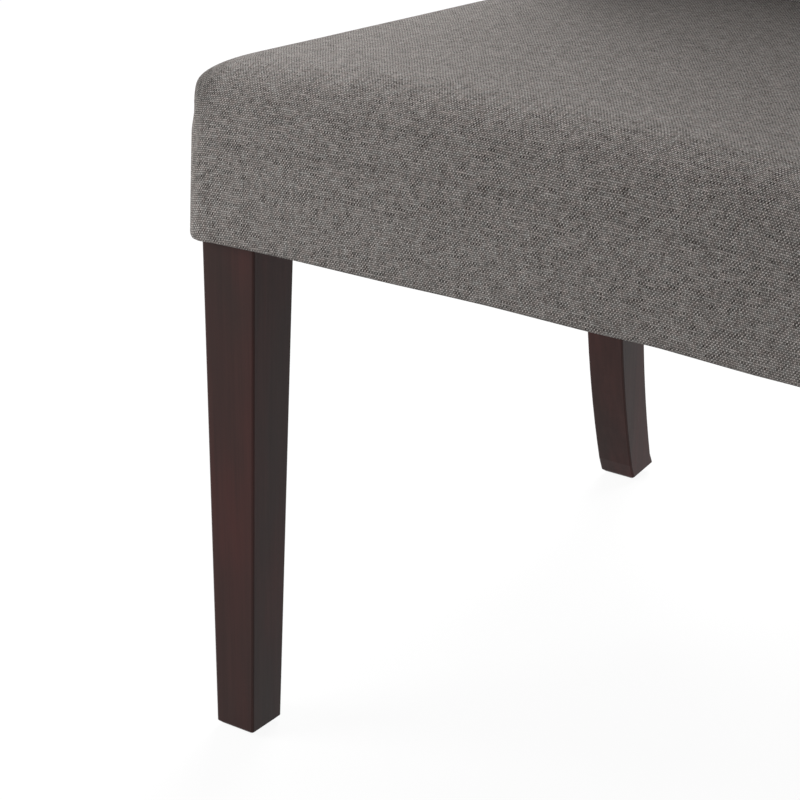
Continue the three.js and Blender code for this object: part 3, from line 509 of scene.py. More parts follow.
def step_top(x, y, facing):
    """Where the wall has drawn in from the rails to the foam above them."""
    return np.minimum(deck_height(y) + seat_step_rise, ridge_foot(x, y, facing))


def step_foot(x, y, facing):
    """Where the wall begins to draw in above the rails."""
    return step_top(x, y, facing) - seat_step_height


def level(height):
    """The same height at every place. Each height here is a function of x, y and the way that
    the wall faces."""
    return lambda x, y, facing=0: height + 0 * x


def between(share, low, high):
    """The height at a share of the way up from one height to another."""
    return lambda x, y, facing: (1 - share) * low(x, y, facing) + share * high(x, y, facing)


def seat_stations(depth):
    """Where the columns of the seat stand along its four sides, so that a column runs at each
    edge that the cover is cut to: round the front legs and at the posts' outer faces."""
    corner = half_width - seat_corner_radius - corner_growth * depth
    leg_x = leg_inner_x - leg_clearance
    front = stations((-corner, -leg_x, leg_x, corner), (8, 72, 8))
    start = cloth_front + seat_corner_radius + corner_growth * depth
    side = stations((start, front_leg_rear + leg_clearance, back_front_line(underside)), (6, 74))
    end = half_width - seat_tuck_radius
    tail = stations((end, seat_tail_half, -seat_tail_half, -end), (2, 84, 2))
    return front, side, tail, 1 - side[::-1]


def seat_ring(depth, drawn, share, lean, height):
    """One ring of the seat: its outline drawn in by an inset, and by a share of the way over
    the rounded top edge, then moved in by a depth square to the cover's face. The lean is 0 on
    the walls and 1 on top. The rear follows the inside back's face, and the front corners'
    radius grows with the depth."""
    rear = back_front_line(underside) - cloth_thickness
    front_corner = seat_corner_radius + corner_growth * depth + share * seat_side_radius / 2
    rear_corner = seat_tuck_radius + depth + share * seat_tuck_growth
    points = outline(
        half_width - drawn - share * seat_side_radius,
        cloth_front + drawn + share * seat_front_radius, rear - share * seat_rear_radius,
        front_corner, rear_corner, seat_stations(depth))
    x, y, facing = points.T
    inwards = depth * np.sqrt(max(0, 1 - lean ** 2))
    ahead = rear - share * seat_rear_radius - y
    near_back = np.clip(1 - ahead / seat_fitting_reach, 0, 1) ** 2
    back_shift = inside_back(x, height(x, y, facing)) - back_front_line(underside)
    y = y + near_back * back_shift
    z = height(x, y, facing) - depth * lean
    return np.stack([x - inwards * np.cos(facing), y - inwards * np.sin(facing), z], axis=1)


def seat_top_rings(depth):
    """The rounded top edge, in even steps of its quarter turn."""
    rings = []
    for turn in np.radians(np.linspace(0, 90, seat_edge_steps + 1)[1:]):
        lean = np.sin(turn)
        height = between(lean, ridge_foot, seat_surface)
        rings.append(seat_ring(depth, seat_drawn, 1 - np.cos(turn), lean, height))
    return rings


def eased(share):
    """A share from 0 to 1 that leaves 0 and meets 1 softly: 3 s ** 2 - 2 s ** 3."""
    return share * share * (3 - 2 * share)


def seat_wall_rings(depth, floor):
    """The seat's walls from a level floor up to the rounded top edge: drawn in evenly over the
    rails, then in a soft step where the foam begins, then plumb."""
    rings = []
    for share in np.linspace(0, 1, rail_rows + 1):
        rings.append((share * seat_draw_in, between(share, level(floor), step_foot)))
    for share in np.linspace(0, 1, step_rows + 1)[1:]:
        drawn = seat_draw_in + seat_step_in * eased(share)
        rings.append((drawn, between(share, step_foot, step_top)))
    for share in np.linspace(0, 1, foam_rows + 1)[1:]:
        rings.append((seat_drawn, between(share, step_top, ridge_foot)))
    return [seat_ring(depth, drawn, 0, 0, height) for drawn, height in rings]


def seat_uv(rings, counts, faces, points, wall_count):
    """Thread places for the seat. On top they are the place seen from above. Each wall carries
    on from the top's edge by the length walked down it, and its weave meets the next wall's at
    the corner."""
    closed = once_round(rings)
    drop = walked(closed[::-1], 0)[::-1]
    round_about = walked(closed, 1)
    edge = closed[-1]
    starts = np.cumsum([0, *counts])
    blocks = []
    for side, (across, along) in enumerate(((1, -1), (1, 1), (-1, 1), (-1, -1))):
        columns = np.arange(starts[side], starts[side + 1] + 1)
        middle = (round_about[:, columns[:1]] + round_about[:, columns[-1:]]) / 2
        sideways = across * (round_about[:, columns] - middle)
        downwards = along * drop[:, columns]
        if side % 2 == 0:
            u, v = sideways, edge[columns, 1] + downwards
        else:
            u, v = edge[columns, 0] + downwards, sideways + edge[columns, 1].mean()
        blocks.append(at_corners(np.stack([u, v], axis=-1)))
    wall = np.concatenate(blocks, axis=1).reshape(-1, 4, 2)
    return off_square(np.concatenate([wall, points[faces[wall_count:]][..., :2]]))


def off_square(places):
    """Thread places for cloth that was stapled a little off square: the warp leans to one side,
    and behind the front edge it leans more to the right and to the back."""
    everywhere, to_right, to_back = 0.06, 0.3, 0.1
    u, behind = places[..., 0], places[..., 1] - cloth_front
    on_top = np.maximum(0, behind)
    lean = everywhere * behind + to_right * u * on_top + to_back * on_top ** 2
    return np.stack([u - lean, places[..., 1]], axis=-1)


seat_counts = run_lengths(seat_stations(0))


def face_middles(points, faces):
    """The middle of each face: its distance from the chair's middle plane, its y and its z."""
    x, y, z = points[faces].mean(axis=1).T
    return np.abs(x), y, z


def under_seat_surface(depth):
    """The heights of a layer at a depth under the seat's upper face."""
    return lambda x, y: seat_surface(x, y) - depth


def webbing_top(x, y, facing=0):
    """The upper face of the seat's webbing."""
    return deck_height(y) + web_stack


def seat_foam_pad():
    """Yellowish foam, cut square under its sides and bearing on the webbing."""
    wall = [seat_ring(foam_depth, seat_drawn, 0, 0, between(share, webbing_top, ridge_foot))
            for share in (0, 0.5, 1)]
    rings = np.array([*wall, *seat_top_rings(foam_depth)])
    lid = under_seat_surface(foam_depth)
    points, faces, _ = closed_over(rings, seat_counts, lid, webbing_top)
    return soft_piece("seat_foam_pad", points, faces)


def seat_wadding_wrap():
    """A soft white layer between the foam and the cover, down to the lower edge of the rails and
    cut away behind, where the back's own padding begins."""
    wall = seat_wall_rings(wadding_depth, wadding_floor)
    rings = np.array([*wall, *seat_top_rings(wadding_depth)])
    points, faces, _ = closed_over(rings, seat_counts, under_seat_surface(wadding_depth))
    x, y, z = face_middles(points, faces)
    at_rear = y > back_front_line(underside) - 2 * cut_at_back
    over_frame = at_rear & (z < deck_height(y) + cut_above_rails)
    at_back = y > inside_back(x, z) - cut_at_back
    piece = soft_piece("seat_wadding_wrap", points, faces, keep=~(over_frame | at_back))
    return walled(piece, wadding_thickness)


def mesh_rows(mesh, what="co"):
    """The places or the normals of a mesh's vertices, as rows."""
    rows = np.empty(len(mesh.vertices) * 3, np.float32)
    mesh.vertices.foreach_get(what, rows)
    return rows.reshape(-1, 3)


def swell(points, shell, held, reach):
    """How far the padding pushes a cover out at each point. A closed shell of the cover's form,
    remeshed to even cells, swells in the cloth simulation while it is held where the cover is
    stapled or pressed on. Its outward moves m shrink to reach * tanh(m / reach), and a point
    takes the mean of those near it, weighted by exp(-gap ** 2 / (2 * cell ** 2))."""
    piece = soft_piece("swelling", shell[0], shell[1])
    cells = piece.modifiers.new("cells", "REMESH")
    cells.mode = "VOXEL"
    cells.voxel_size = swell_cell
    graph = bpy.context.evaluated_depsgraph_get()
    piece.data = bpy.data.meshes.new_from_object(piece.evaluated_get(graph))
    piece.modifiers.clear()
    start, outward = mesh_rows(piece.data), mesh_rows(piece.data, "normal")
    pinned = np.flatnonzero(held(*start.T)).tolist()
    piece.vertex_groups.new(name="held").add(pinned, 1.0, "REPLACE")
    cloth = piece.modifiers.new("cloth", "CLOTH").settings
    cloth.vertex_group_mass = "held"
    cloth.use_pressure = True
    cloth.uniform_pressure_force = swell_pressure
    cloth.tension_stiffness = swell_stretch_stiffness
    cloth.compression_stiffness = swell_stretch_stiffness
    cloth.bending_stiffness = swell_bending_stiffness
    cloth.effector_weights.gravity = 0
    for step in range(1, swell_frames + 1):
        bpy.context.scene.frame_set(step)
    graph = bpy.context.evaluated_depsgraph_get()
    moved = mesh_rows(piece.evaluated_get(graph).data) - start
    bpy.context.scene.frame_set(1)
    bpy.data.objects.remove(piece)
    out = np.maximum(0, (moved * outward).sum(axis=1, keepdims=True))
    moved = reach * np.tanh(out / reach) * outward
    pushes = []
    for near in np.array_split(points.astype(np.float32), swell_batches):
        gap = (near ** 2).sum(axis=1)[:, None] + (start ** 2).sum(axis=1)[None] - 2 * near @ start.T
        weight = np.exp(-gap / (2 * swell_cell ** 2)) + 1e-12
        pushes.append(weight @ moved / weight.sum(axis=1, keepdims=True))
    return np.concatenate(pushes)


def hem(points):
    """How far the cover's lower edge wanders from level: along the front as it was pulled and
    stapled, low at the corners, and in slow waves along the sides. It fades out up the wall."""
    x, y, z = points.T
    fade = np.clip(1 - (z - underside) / hem_fade_height, 0, 1) ** 2
    to_staples = np.minimum(half_width - np.abs(x), y - cloth_front) / staple_line
    fade = fade * (1 - np.clip(to_staples, 0, 1) ** 2)
    shifts = (-hem_smoothing, 0, hem_smoothing)
    along_front = sum(np.interp(x + shift, hem_marks, hem_rises) for shift in shifts) / 3
    along_side = sum(rise * np.sin(2 * np.pi * y / length + start)
                     for rise, length, start in hem_side_waves)
    front_share = np.clip(1 - (y - cloth_front) / hem_front_reach, 0, 1)
    return fade * (front_share * along_front + (1 - front_share) * along_side)


def turned_under():
    """The inset and height of each row of a cover's lip, from its edge under the rails to the
    quarter turn at the cover's lower edge."""
    turn = np.radians((90, 60, 30))
    insets = [*lip_insets, *(lower_edge_radius * (1 - np.cos(turn)))]
    rises = [0] * len(lip_insets) + [*(lower_edge_radius * (1 - np.sin(turn)))]
    return [(inset, underside + rise) for inset, rise in zip(insets, rises)]


def seat_held(x, y, z):
    """Where the seat's cover can't swell: at its lower edge, and against the back."""
    return (z < underside + held_height) | (y > inside_back(x, z) - held_gap)


def seat_cover_cloth():
    """The one-piece cover, from the lip under the rails to the tail behind the seat."""
    foot = [seat_ring(0, inset, 0, 0, level(height)) for inset, height in turned_under()]
    floor = underside + lower_edge_radius
    wall = [*seat_wall_rings(0, floor), *seat_top_rings(0)]
    rings = np.array([*foot, *wall])
    points, faces, wall_count = closed_over(rings, seat_counts, seat_surface)
    uv = seat_uv(rings, seat_counts, faces, points, wall_count)
    shell = closed_over(np.array(wall), seat_counts, seat_surface, level(floor))
    push = swell(points, shell, seat_held, seat_swell_reach)
    x, y, z = face_middles(points, faces)
    under = z < underside + flat_margin
    beyond_staples = (x < half_width - staple_line) & (y > cloth_front + staple_line)
    at_leg = (x > leg_inner_x - leg_clearance) & (y < front_leg_rear + leg_clearance)
    at_tail = (x < seat_tail_half) & (y > back_front_line(underside) - seat_tail_start)
    over_rails = at_tail & (z < deck_height(y) + cut_above_rails)
    points[:, 2] += hem(points)
    points += push
    keep = ~(under & beyond_staples & at_leg) & ~over_rails
    return walled(soft_piece("seat_cover_cloth", points, faces, uv, keep), cloth_thickness)


def taupe_weave():
    """Plain weave on the cloth's own threads: each crossing shows the warp or the weft in turn,
    as a small rounded bump that slants with the twist of the yarn. Every thread has its own
    tone that drifts along it, as heathered and slubby yarn does. The colour is painted darker
    in the gaps between threads as painted shade and lighter on their crowns as a painted
    highlight, and the weft crossings are painted darker than the warp's, partly as yarn tone
    and partly as painted shade."""
    warp_pitch, weft_pitch = 0.00103, 0.00137
    material, tree, shader = finish("taupe_weave", {
        "Roughness": 0.95, "Sheen Weight": 0.03, "Sheen Roughness": 0.5, "Specular IOR Level": 0.05})
    threads = node(tree, "UVMap", uv_map="cloth").outputs[0]
    wander = node(tree, "TexNoise", {"Vector": threads, "Scale": 60.0, "Detail": 1.0})
    wander = node(tree, "VectorMath", {0: wander.outputs["Color"], 1: (0.5, 0.5, 0.5)},
                  operation="SUBTRACT").outputs[0]
    placed = node(tree, "VectorMath", {0: wander, 1: (0.0015, 0.0015, 0.0), 2: threads},
                  operation="MULTIPLY_ADD").outputs[0]
    split = node(tree, "SeparateXYZ", {0: placed})
    u = maths(tree, "DIVIDE", split.outputs["X"], warp_pitch)
    v = maths(tree, "DIVIDE", split.outputs["Y"], weft_pitch)
    warp, weft = maths(tree, "FLOOR", u), maths(tree, "FLOOR", v)
    over = maths(tree, "FLOORED_MODULO", maths(tree, "ADD", warp, weft), 2.0)
    in_u = maths(tree, "MULTIPLY", maths(tree, "FRACT", u), np.pi)
    in_v = maths(tree, "MULTIPLY", maths(tree, "FRACT", v), np.pi)
    rounded = maths(tree, "MULTIPLY", maths(tree, "SINE", in_u), maths(tree, "SINE", in_v))
    slanted = maths(tree, "MULTIPLY", maths(tree, "COSINE", in_u), maths(tree, "COSINE", in_v))
    crossing = maths(tree, "MULTIPLY_ADD", slanted, 0.25, rounded)

    def yarn(index, along, seed):
        """A thread's own shade, which drifts along it."""
        place = node(tree, "CombineXYZ", {
            0: maths(tree, "MULTIPLY", index, 3.7), 1: maths(tree, "MULTIPLY", along, 0.13), 2: seed})
        return cloudy(tree, place.outputs[0], 1.0, 2.0, 0.6)

    shade = mix(tree, over, yarn(warp, v, 2.0), yarn(weft, u, 11.0))
    cell = node(tree, "CombineXYZ", {0: warp, 1: weft}).outputs[0]
    fleck = node(tree, "TexWhiteNoise", {0: cell}, noise_dimensions="2D").outputs["Value"]
    tone = maths(tree, "MULTIPLY_ADD", maths(tree, "SUBTRACT", fleck, 0.5), 0.10, shade)
    # Weft crossings darker than warp crossings: partly a yarn tone, partly painted shade.
    tone = maths(tree, "MULTIPLY_ADD", maths(tree, "SUBTRACT", over, 0.5), -0.24, tone)
    yarn_colour = ramp(tree, tone, (0.20, (0.046, 0.040, 0.037)), (0.50, (0.238, 0.220, 0.207)),
                       (0.80, (0.430, 0.404, 0.384)))
    # Painted shade in the gaps between threads and a painted highlight on their crowns.
    depth = ramp(tree, crossing, (0.0, (0.16, 0.155, 0.155)), (0.75, (1.36, 1.36, 1.36)))
    dye = ramp(tree, cloudy(tree, threads, 240.0, 1.0),
               (0.3, (0.975, 1.01, 1.02)), (0.7, (1.03, 0.99, 0.985)))
    colour = mix(tree, 1.0, mix(tree, 1.0, yarn_colour, depth, "MULTIPLY"), dye, "MULTIPLY")
    relief = maths(tree, "MULTIPLY", crossing, maths(tree, "MULTIPLY_ADD", tone, 0.5, 0.7))
    coat(tree, shader, colour, relief=relief, strength=0.08, distance=0.0004)
    return material


def open_foam():
    """Pale yellow foam with open cells of about a millimetre, painted darker in each cell as shade.
    """
    material, tree, shader = finish("open_foam", {
        "Roughness": 1.0, "Subsurface Weight": 0.15, "Subsurface Scale": 0.004})
    cells = node(tree, "TexVoronoi", {"Vector": object_place(tree), "Scale": 900.0})
    drift = cloudy(tree, object_place(tree), 22.0, 3.0)
    colour = ramp(tree, drift, (0.3, (0.78, 0.66, 0.40)), (0.7, (0.83, 0.74, 0.52)))
    # Painted shade in the open cells.
    painted_cell_shade = ramp(tree, cells.outputs["Distance"], (0.0, (0.55, 0.55, 0.55)), (0.5, (1.0, 1.0, 1.0)))
    colour = mix(tree, 1.0, colour, painted_cell_shade, "MULTIPLY")
    relief = cells.outputs["Distance"]
    coat(tree, shader, colour, relief=relief, strength=0.6, distance=0.0006)
    return material


def fibre_wadding():
    """White polyester fibre, matted in all directions."""
    material, tree, shader = finish("fibre_wadding", {
        "Roughness": 1.0, "Sheen Weight": 0.4, "Sheen Roughness": 0.5})
    fibres = cloudy(tree, object_place(tree, (260, 260, 260)), 1.0, 6.0, 0.75)
    tufts = cloudy(tree, object_place(tree), 38.0, 2.0)
    colour = ramp(tree, maths(tree, "MULTIPLY", fibres, tufts),
                  (0.1, (0.70, 0.69, 0.66)), (0.5, (0.90, 0.89, 0.86)))
    coat(tree, shader, colour, relief=fibres, strength=0.8, distance=0.0015)
    return material


def finished(piece, material, slot, *nodes):
    """Gives a piece its finish, hangs it on the root body and hides the CAD nodes that it stands for.
    """
    piece.data.materials.append(material)
    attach(piece, "root")
    if nodes:
        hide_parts(*nodes)
    return piece


weave, foam, wadding = taupe_weave(), open_foam(), fibre_wadding()
finished(seat_foam_pad(), foam, "padding_foam", "seat_foam")
finished(seat_wadding_wrap(), wadding, "wadding", "seat_wadding")
finished(seat_cover_cloth(), weave, "upholstery_fabric", "seat_cover")


# Back foam, wadding and covers
# The back is a foam slab over webbing, wrapped in wadding. One cover goes over its front, top
# and sides and is stapled on behind. A second panel closes the rear: its top and side edges
# are folded over tack strips, and its lower edge is turned under the back rail.

back_rear_padding = 0.010
back_rear_radius = 0.010
back_top_radius = 0.018
back_top_crown = 0.003
back_rear_wadding_depth = 0.0046
back_wadding_thickness = 0.0048
back_swell_reach = 0.0012
back_held_above_seat = 0.03
side_cut_share = 0.43
back_wall_rows = 80
back_edge_steps = 8
rear_panel_inset = 0.016
rear_panel_overlap = 0.010
rear_panel_proud = 0.0003
rear_panel_edge = 0.004
rear_panel_last_rows = 0.006
rear_panel_columns, rear_panel_rows, rear_roll_rows = 97, 86, 8
rear_lip_rows = 6
rear_lip_bend = 0.005
post_cut_inset = 0.006
panel_seam_depth = 0.003
panel_seam_from, panel_seam_to = -0.005, 0.001


def back_rear_line(z):
    """The outside back's plain face: the padding's thickness behind the tapering posts."""
    share = np.maximum(0, z - rake_start) / (post_top.z - rake_start)
    depth = post_depth + (post_top_depth - post_depth) * share
    return post_front + rake(z) + depth + back_rear_padding


def back_stations():
    """Where the columns of the back stand along its four sides."""
    x = half_width - back_front_radius
    wide = stations((-x, x), (68,))
    side = stations((0, side_cut_share, 1), (6, 6))
    return wide, side, wide, 1 - side[::-1]


back_counts = run_lengths(back_stations())


def back_ring(z, depth, inset, rear_line=back_rear_line, rear_depth=None):
    """One level of the back at a depth under its cover and drawn in by an inset. Its front
    stands out in the crown, which fades round the side edges."""
    x_half = half_width - depth - inset
    front = back_front_line(z) + depth + inset
    rear = rear_line(z) - (depth if rear_depth is None else rear_depth) - inset
    front_radius = max(back_front_radius - depth - inset / 2, lower_edge_radius)
    rear_radius = max(back_rear_radius - depth - inset / 2, cloth_thickness)
    x, y, _ = outline(x_half, front, rear, front_radius, rear_radius, back_stations()).T
    to_front = np.clip(1 - (y - front) / front_radius, 0, 1)
    return np.stack([x, y - back_bulge(x, z) * to_front, z + 0 * x], axis=1)


def back_rings(depth, floor, foot=(), **rear):
    """The back's walls from a level floor to the top, with its rounded top edge."""
    top = chair_top - back_top_crown - depth
    radius = back_top_radius - depth
    rings = list(foot)
    for share in np.linspace(0, 1, back_wall_rows):
        rings.append(back_ring(floor + share * (top - radius - floor), depth, 0, **rear))
    for turn in np.radians(np.linspace(0, 90, back_edge_steps + 1)[1:]):
        inset = radius * (1 - np.cos(turn))
        rings.append(back_ring(top - radius + radius * np.sin(turn), depth, inset, **rear))
    return np.array(rings)


def back_lid(depth, edge):
    """The height of the back's top inside its rounded edge, with a low dome over it."""
    x_half, y_low, y_high = np.abs(edge[:, 0]).max(), edge[:, 1].min(), edge[:, 1].max()
    eaves = chair_top - back_top_crown - depth

    def height(x, y):
        along = 1 - (x / x_half) ** 2
        across = 1 - ((2 * y - y_low - y_high) / (y_high - y_low)) ** 2
        return eaves + back_top_crown * np.sqrt(np.clip(along * across, 0, 1))
    return height


def back_uv(rings, counts, faces, points, wall_count):
    """Thread places for cloth that goes right round the back: across is the length walked
    round from the middle of the front either way, and up is the length walked up. The top
    carries on from the front."""
    closed = once_round(rings)
    up = walked(closed, 0) + rings[0, :, 2].mean()
    round_about = walked(closed, 1)
    round_about = round_about - round_about[:, counts[0] // 2][:, None]
    girth = round_about[:, -1] - round_about[:, 0]
    wall = at_corners(np.stack([round_about, up], axis=-1))
    past_rear = np.arange(wall.shape[1]) >= counts[0] + counts[1] + counts[2] // 2
    wall[..., 0] -= girth[:-1, None, None] * past_rear[None, :, None]
    lid = points[faces[wall_count:]]
    edge = up[-1, :counts[0]].mean() - rings[-1, :counts[0], 1].mean()
    lid_uv = np.stack([lid[..., 0], lid[..., 1] + edge], axis=-1)
    return np.concatenate([wall.reshape(-1, 4, 2), lid_uv])


def inside_panel(x, z):
    """How far inside the rear panel's top and side edges a place is."""
    return np.minimum(half_width - rear_panel_inset - np.abs(x), chair_top - rear_panel_inset - z)


def soft_step(value, low, high):
    """0 below low and 1 above high, with an even ease between."""
    return eased(np.clip((value - low) / (high - low), 0, 1))


def back_webbing_line(z):
    """The front face of the back's webbing, level with the posts' fronts."""
    return post_front + rake(z) - web_stack


def back_foam_pad():
    """The foam slab in front of the back's webbing."""
    floor = webbing_top(0, back_front_line(underside))
    rings = back_rings(foam_depth, floor, rear_line=back_webbing_line, rear_depth=0)
    lid = back_lid(foam_depth, rings[-1])
    points, faces, _ = closed_over(rings, back_counts, lid, level(floor))
    return soft_piece("back_foam_pad", points, faces)


def over_seat_frame(x, y, z, side_gap):
    """What is cut from the back's layers where the seat's frame comes through to the posts."""
    in_front = (x < leg_outer_x + side_gap) & (y < post_front)
    return in_front & (z < deck_height(y) + cut_above_rails)


def back_wadding_wrap():
    """The soft white layer round the foam and the posts."""
    rings = back_rings(wadding_depth, wadding_floor, rear_depth=back_rear_wadding_depth)
    points, faces, _ = closed_over(rings, back_counts, back_lid(wadding_depth, rings[-1]))
    keep = ~over_seat_frame(*face_middles(points, faces), wadding_depth)
    return walled(soft_piece("back_wadding_wrap", points, faces, keep=keep), back_wadding_thickness)


def back_held(x, y, z):
    """Where the back's cover can't swell: at its lower edge, behind, and against the seat."""
    in_front = (y < post_front + rake(z)) & (np.abs(x) < half_width - held_gap)
    by_seat = in_front & (z < seat_surface(x, y) + back_held_above_seat)
    return (z < underside + held_height) | (y > back_rear_line(z) - back_rear_radius) | by_seat


def back_cover_cloth():
    """The cover over the front, top and sides, and its tails behind. It dips in a valley where
    the rear panel's edge is drawn down onto it."""
    foot = [back_ring(height, 0, inset) for inset, height in turned_under()]
    floor = underside + lower_edge_radius
    rings = back_rings(0, floor, foot)
    lid = back_lid(0, rings[-1])
    points, faces, wall_count = closed_over(rings, back_counts, lid)
    uv = back_uv(rings, back_counts, faces, points, wall_count)
    shell = closed_over(rings[len(foot):], back_counts, lid, level(floor))
    push = swell(points, shell, back_held, back_swell_reach)
    x, y, z = face_middles(points, faces)
    under = z < underside + flat_margin
    at_post = (x < half_width - staple_line) & (y > post_front - leg_clearance)
    behind = y > back_rear_line(z) - back_rear_radius / 2
    keep = ~(under & (at_post | (x < half_width - lip_width)))
    keep &= under | ~over_seat_frame(x, y, z, cloth_thickness)
    keep &= ~(behind & (inside_panel(x, z) > rear_panel_overlap))
    x, y, z = points.T
    rear = soft_step(y, back_rear_line(z) - back_rear_radius / 2, back_rear_line(z) - flat_margin)
    under_panel = soft_step(inside_panel(x, z), panel_seam_from, panel_seam_to)
    y -= rear * panel_seam_depth * under_panel
    points += push
    return walled(soft_piece("back_cover_cloth", points, faces, uv, keep), cloth_thickness)


def rear_panel_cloth():
    """The outside back's panel: a grid across and up, with its top and side edges rolled down
    over the tack strips and its lower edge turned under."""
    x_half = half_width - rear_panel_inset
    x = x_half * np.sin(np.pi / 2 * np.linspace(-1, 1, rear_panel_columns))
    top = chair_top - rear_panel_inset
    heights = np.concatenate([
        np.linspace(underside + lower_edge_radius, top - rear_panel_last_rows, rear_panel_rows),
        top - rear_panel_last_rows * np.linspace(1, 0, rear_roll_rows + 1)[1:] ** 2])
    x, z = np.meshgrid(x, heights)
    over_top = np.clip(z - (chair_top - back_top_crown - back_top_radius), 0, back_top_radius)
    y = back_rear_line(z) - back_top_radius + np.sqrt(back_top_radius ** 2 - over_top ** 2)
    edge = np.clip(1 - inside_panel(x, z) / rear_panel_edge, 0, 1)
    y = y + rear_panel_proud - cloth_thickness * (1 - np.sqrt(1 - edge ** 2))
    turned = np.radians(np.linspace(90, 22.5, 4))
    rear = back_rear_line(underside) + rear_panel_proud
    under_y = np.concatenate([rear - np.linspace(lip_width, rear_lip_bend, rear_lip_rows),
                              rear - lower_edge_radius * (1 - np.cos(turned))])
    under_z = np.concatenate([np.full(rear_lip_rows, underside),
                              underside + lower_edge_radius * (1 - np.sin(turned))])
    under = [np.repeat(row[:, None], x.shape[1], axis=1) for row in (under_y, under_z)]
    x = np.concatenate([np.repeat(x[:1], len(under_y), axis=0), x])
    grid = np.stack([x, np.concatenate([under[0], y]), np.concatenate([under[1], z])], axis=-1)
    faces = quads(np.arange(x.size).reshape(x.shape))[:, ::-1]
    uv = at_corners(np.stack([-x, walked(grid, 0)], axis=-1)).reshape(-1, 4, 2)[:, ::-1]
    points = grid.reshape(-1, 3)
    x, y, z = face_middles(points, faces)
    at_post = (x > leg_inner_x + post_cut_inset) & (y < rear - staple_line)
    keep = ~(at_post & (z < underside + flat_margin))
    return walled(soft_piece("rear_panel_cloth", points, faces, uv, keep), cloth_thickness)


finished(back_foam_pad(), foam, "padding_foam", "back_foam")
finished(back_wadding_wrap(), wadding, "wadding", "back_wadding")
finished(back_cover_cloth(), weave, "upholstery_fabric", "inside_back_cover")
rear_panel = finished(rear_panel_cloth(), weave, "upholstery_fabric", "outside_back_cover")


# Tack strips
# A strip of pressed card along the top of the outside back, and a steel one down each side. The
# panel's edges are folded over them and tacked from inside.

def pressed_card():
    """Grey-brown card with its fibres showing."""
    material, tree, shader = finish("tack_strip_card", {"Roughness": 0.95})
    fibres = cloudy(tree, object_place(tree, (300, 300, 300)), 1.0, 5.0, 0.7)
    colour = ramp(tree, fibres, (0.3, (0.24, 0.165, 0.09)), (0.7, (0.42, 0.31, 0.19)))
    coat(tree, shader, colour, relief=fibres, strength=0.3, distance=0.0003)
    return material


refinish(pressed_card(), "top_tack_strip")
refinish(zinc, *(f"side_tack_strip_{side}" for side in both_sides))


# Dust cloth
# Black spunbond cloth over the underside, its edges folded in and stapled to the rails every
# 35 mm, cut round the four legs. It sags a little between the rails.

dust_inset = 0.014
dust_thickness = 0.0004
dust_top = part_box("dust_cloth")[1].z
dust_rear = back_rear_line(underside) - dust_inset
dust_front = cloth_front + dust_inset
dust_half = half_width - dust_inset
dust_middle_y, dust_half_depth = (dust_front + dust_rear) / 2, (dust_rear - dust_front) / 2
dust_sag = 0.0035
dust_sag_margin = 0.02
dust_ripple = 0.0006
dust_ripple_waves = ((31, 9, 0), (-7, 23, 1))
dust_gap = 0.0003
fold_ease = 0.0006
post_inner_x = leg_outer_x - 0.036
hem_width = 0.012
staple_pitch = 0.035
end_pitch_share, side_pitch_share = 0.987, 1.05
staple_drop = 0.0011
staple_crookedness = 0.09
end_staples_from, end_staples_to = -0.1875, 0.19
side_staples_each_way, side_staples_forward = 5, 0.008
pucker_rise = 0.00018
pucker_reach = 0.014


def dust_sheet():
    """The cloth as a grid with a folded hem, a slow sag that two crossing waves ripple, and
    puckers that start at each staple."""
    marks_x = (-dust_half, -leg_inner_x + leg_clearance, leg_inner_x - leg_clearance, dust_half)
    marks_y = (dust_front, front_leg_rear + leg_clearance, post_front - leg_clearance, dust_rear)
    x = marks_x[0] + stations(marks_x, (9, 100, 9)) * 2 * dust_half
    y = dust_front + stations(marks_y, (9, 98, 9)) * (dust_rear - dust_front)
    x, y = np.meshgrid(x, y)
    side_gap = dust_half - np.abs(x)
    end_gap = dust_half_depth - np.abs(y - dust_middle_y)
    gap = np.minimum(side_gap, end_gap)
    sag = (side_gap - dust_sag_margin) * (end_gap - dust_sag_margin) / (dust_half * dust_half_depth)
    sag = np.clip(sag, 0, 1)
    along = np.where(side_gap < end_gap, y - dust_middle_y, x)
    fading = np.exp(-np.clip(gap - hem_width / 2, 0, 1) / pucker_reach)
    pucker = pucker_rise * np.cos(2 * np.pi * along / staple_pitch) * fading
    fold = dust_thickness * soft_step(-gap, -hem_width - fold_ease, -hem_width)
    waves = [np.sin(by_x * x + by_y * y + start) for by_x, by_y, start in dust_ripple_waves]
    ripple = dust_ripple * waves[0] * waves[1]
    z = dust_top - dust_gap - dust_sag * sag - fold + sag * ripple + pucker
    grid = np.stack([x, y, z], axis=-1)
    points = grid.reshape(-1, 3)
    faces = quads(np.arange(x.size).reshape(x.shape))
    uv = at_corners(grid[..., :2]).reshape(-1, 4, 2)
    x, y, _ = face_middles(points, faces)
    at_leg = (x > leg_inner_x - leg_clearance) & (y < front_leg_rear + leg_clearance)
    at_post = (x > post_inner_x - leg_clearance) & (y > post_front - leg_clearance)
    return points, faces[:, ::-1], uv[:, ::-1], ~at_leg & ~at_post


